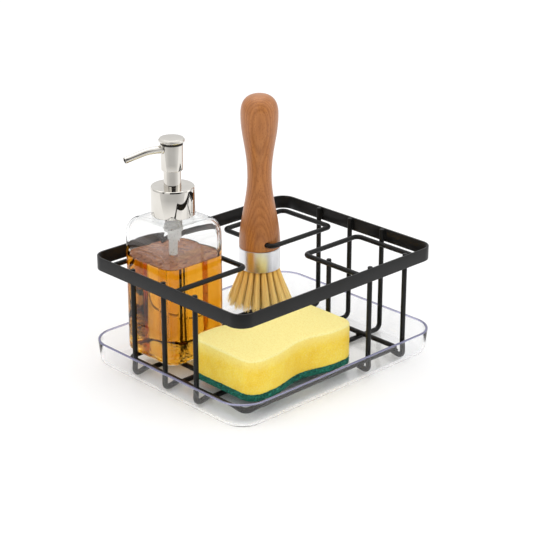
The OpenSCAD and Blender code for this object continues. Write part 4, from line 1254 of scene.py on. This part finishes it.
white = Nodes("floor_white", Roughness=0.9, Base_Color=(0.94, 0.94, 0.94), Specular_IOR_Level=0.1)
corners = [(x * FLOOR_REACH, y * FLOOR_REACH, 0) for x, y in ((-1, -1), (1, -1), (1, 1), (-1, 1))]
sheet("floor", corners, white.material).location.z = -FLOOR_DROP

# A pale room with one dark side, which shows in mirror-like surfaces alone
world = bpy.data.worlds.new("studio")
bpy.context.scene.world = world
room = Tree(world)
look = room.add("TexCoord", out="Generated")
sky = room.ramp(room.z_of(look), [(at, (v, v, v * 1.005)) for at, v in SKY])
facing = room.add("VectorMath", out="Value", operation="DOT_PRODUCT", inputs={0: look, 1: DARK_WAY})
ends = {"From Min": 0.48, "From Max": 0.82, "To Min": 1.0, "To Max": 0.04}
dark = room.add("MapRange", inputs={"Value": facing, **ends}, interpolation_type="SMOOTHSTEP")
ray = room.node("LightPath").outputs
mirror = room.maths("SUBTRACT", ray["Is Glossy Ray"], ray["Is Transmission Ray"], clamp=True)
share = room.maths("MAXIMUM", dark, room.maths("SUBTRACT", 1.0, mirror))
colour = room.add("VectorMath", operation="SCALE", inputs={0: sky, "Scale": share})
glow = room.add("Background", inputs={"Color": colour, "Strength": SKY_STRENGTH})
room.node("OutputWorld", {"Surface": glow})

# A grey card lying in front, with soft edges, which shows in shiny surfaces alone
near, far, aside = TOWARDS * CARD_NEAR, TOWARDS * CARD_FAR, ASIDE * CARD_SIDE
corners = [p + UP * CARD_Z for p in (near - aside, far - aside, far + aside, near + aside)]
card = sheet("front_card", corners, card_grey())
card.visible_camera = False
card.visible_diffuse = False
card.visible_transmission = False
card.visible_shadow = False

for name, where, size, power in LAMPS:
    data = bpy.data.lights.new(name, "AREA")
    data.shape = "RECTANGLE"
    data.size, data.size_y = size
    data.energy = power
    lamp = link(name, data)
    lamp.location = where
    lamp.rotation_mode = "QUATERNION"
    lamp.rotation_quaternion = (AIM - Vector(where)).to_track_quat("-Z", "Y")

a, e = math.radians(AZ), math.radians(EL)
back = Vector((math.sin(a) * math.cos(e), -math.cos(a) * math.cos(e), math.sin(e)))
right = Vector((math.cos(a), math.sin(a), 0))
data = bpy.data.cameras.new("camera")
data.sensor_width = SENSOR
data.lens = FOCAL / FRAME_PX * SENSOR
data.clip_end = 50
camera = link("camera", data)
turn = Matrix((right, back.cross(right), back)).transposed().to_4x4()
camera.matrix_world = Matrix.Translation((TARGET + back * DIST) * MM) @ turn
bpy.context.scene.camera = camera
bpy.context.scene.view_settings.view_transform = "Standard"

lo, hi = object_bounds()
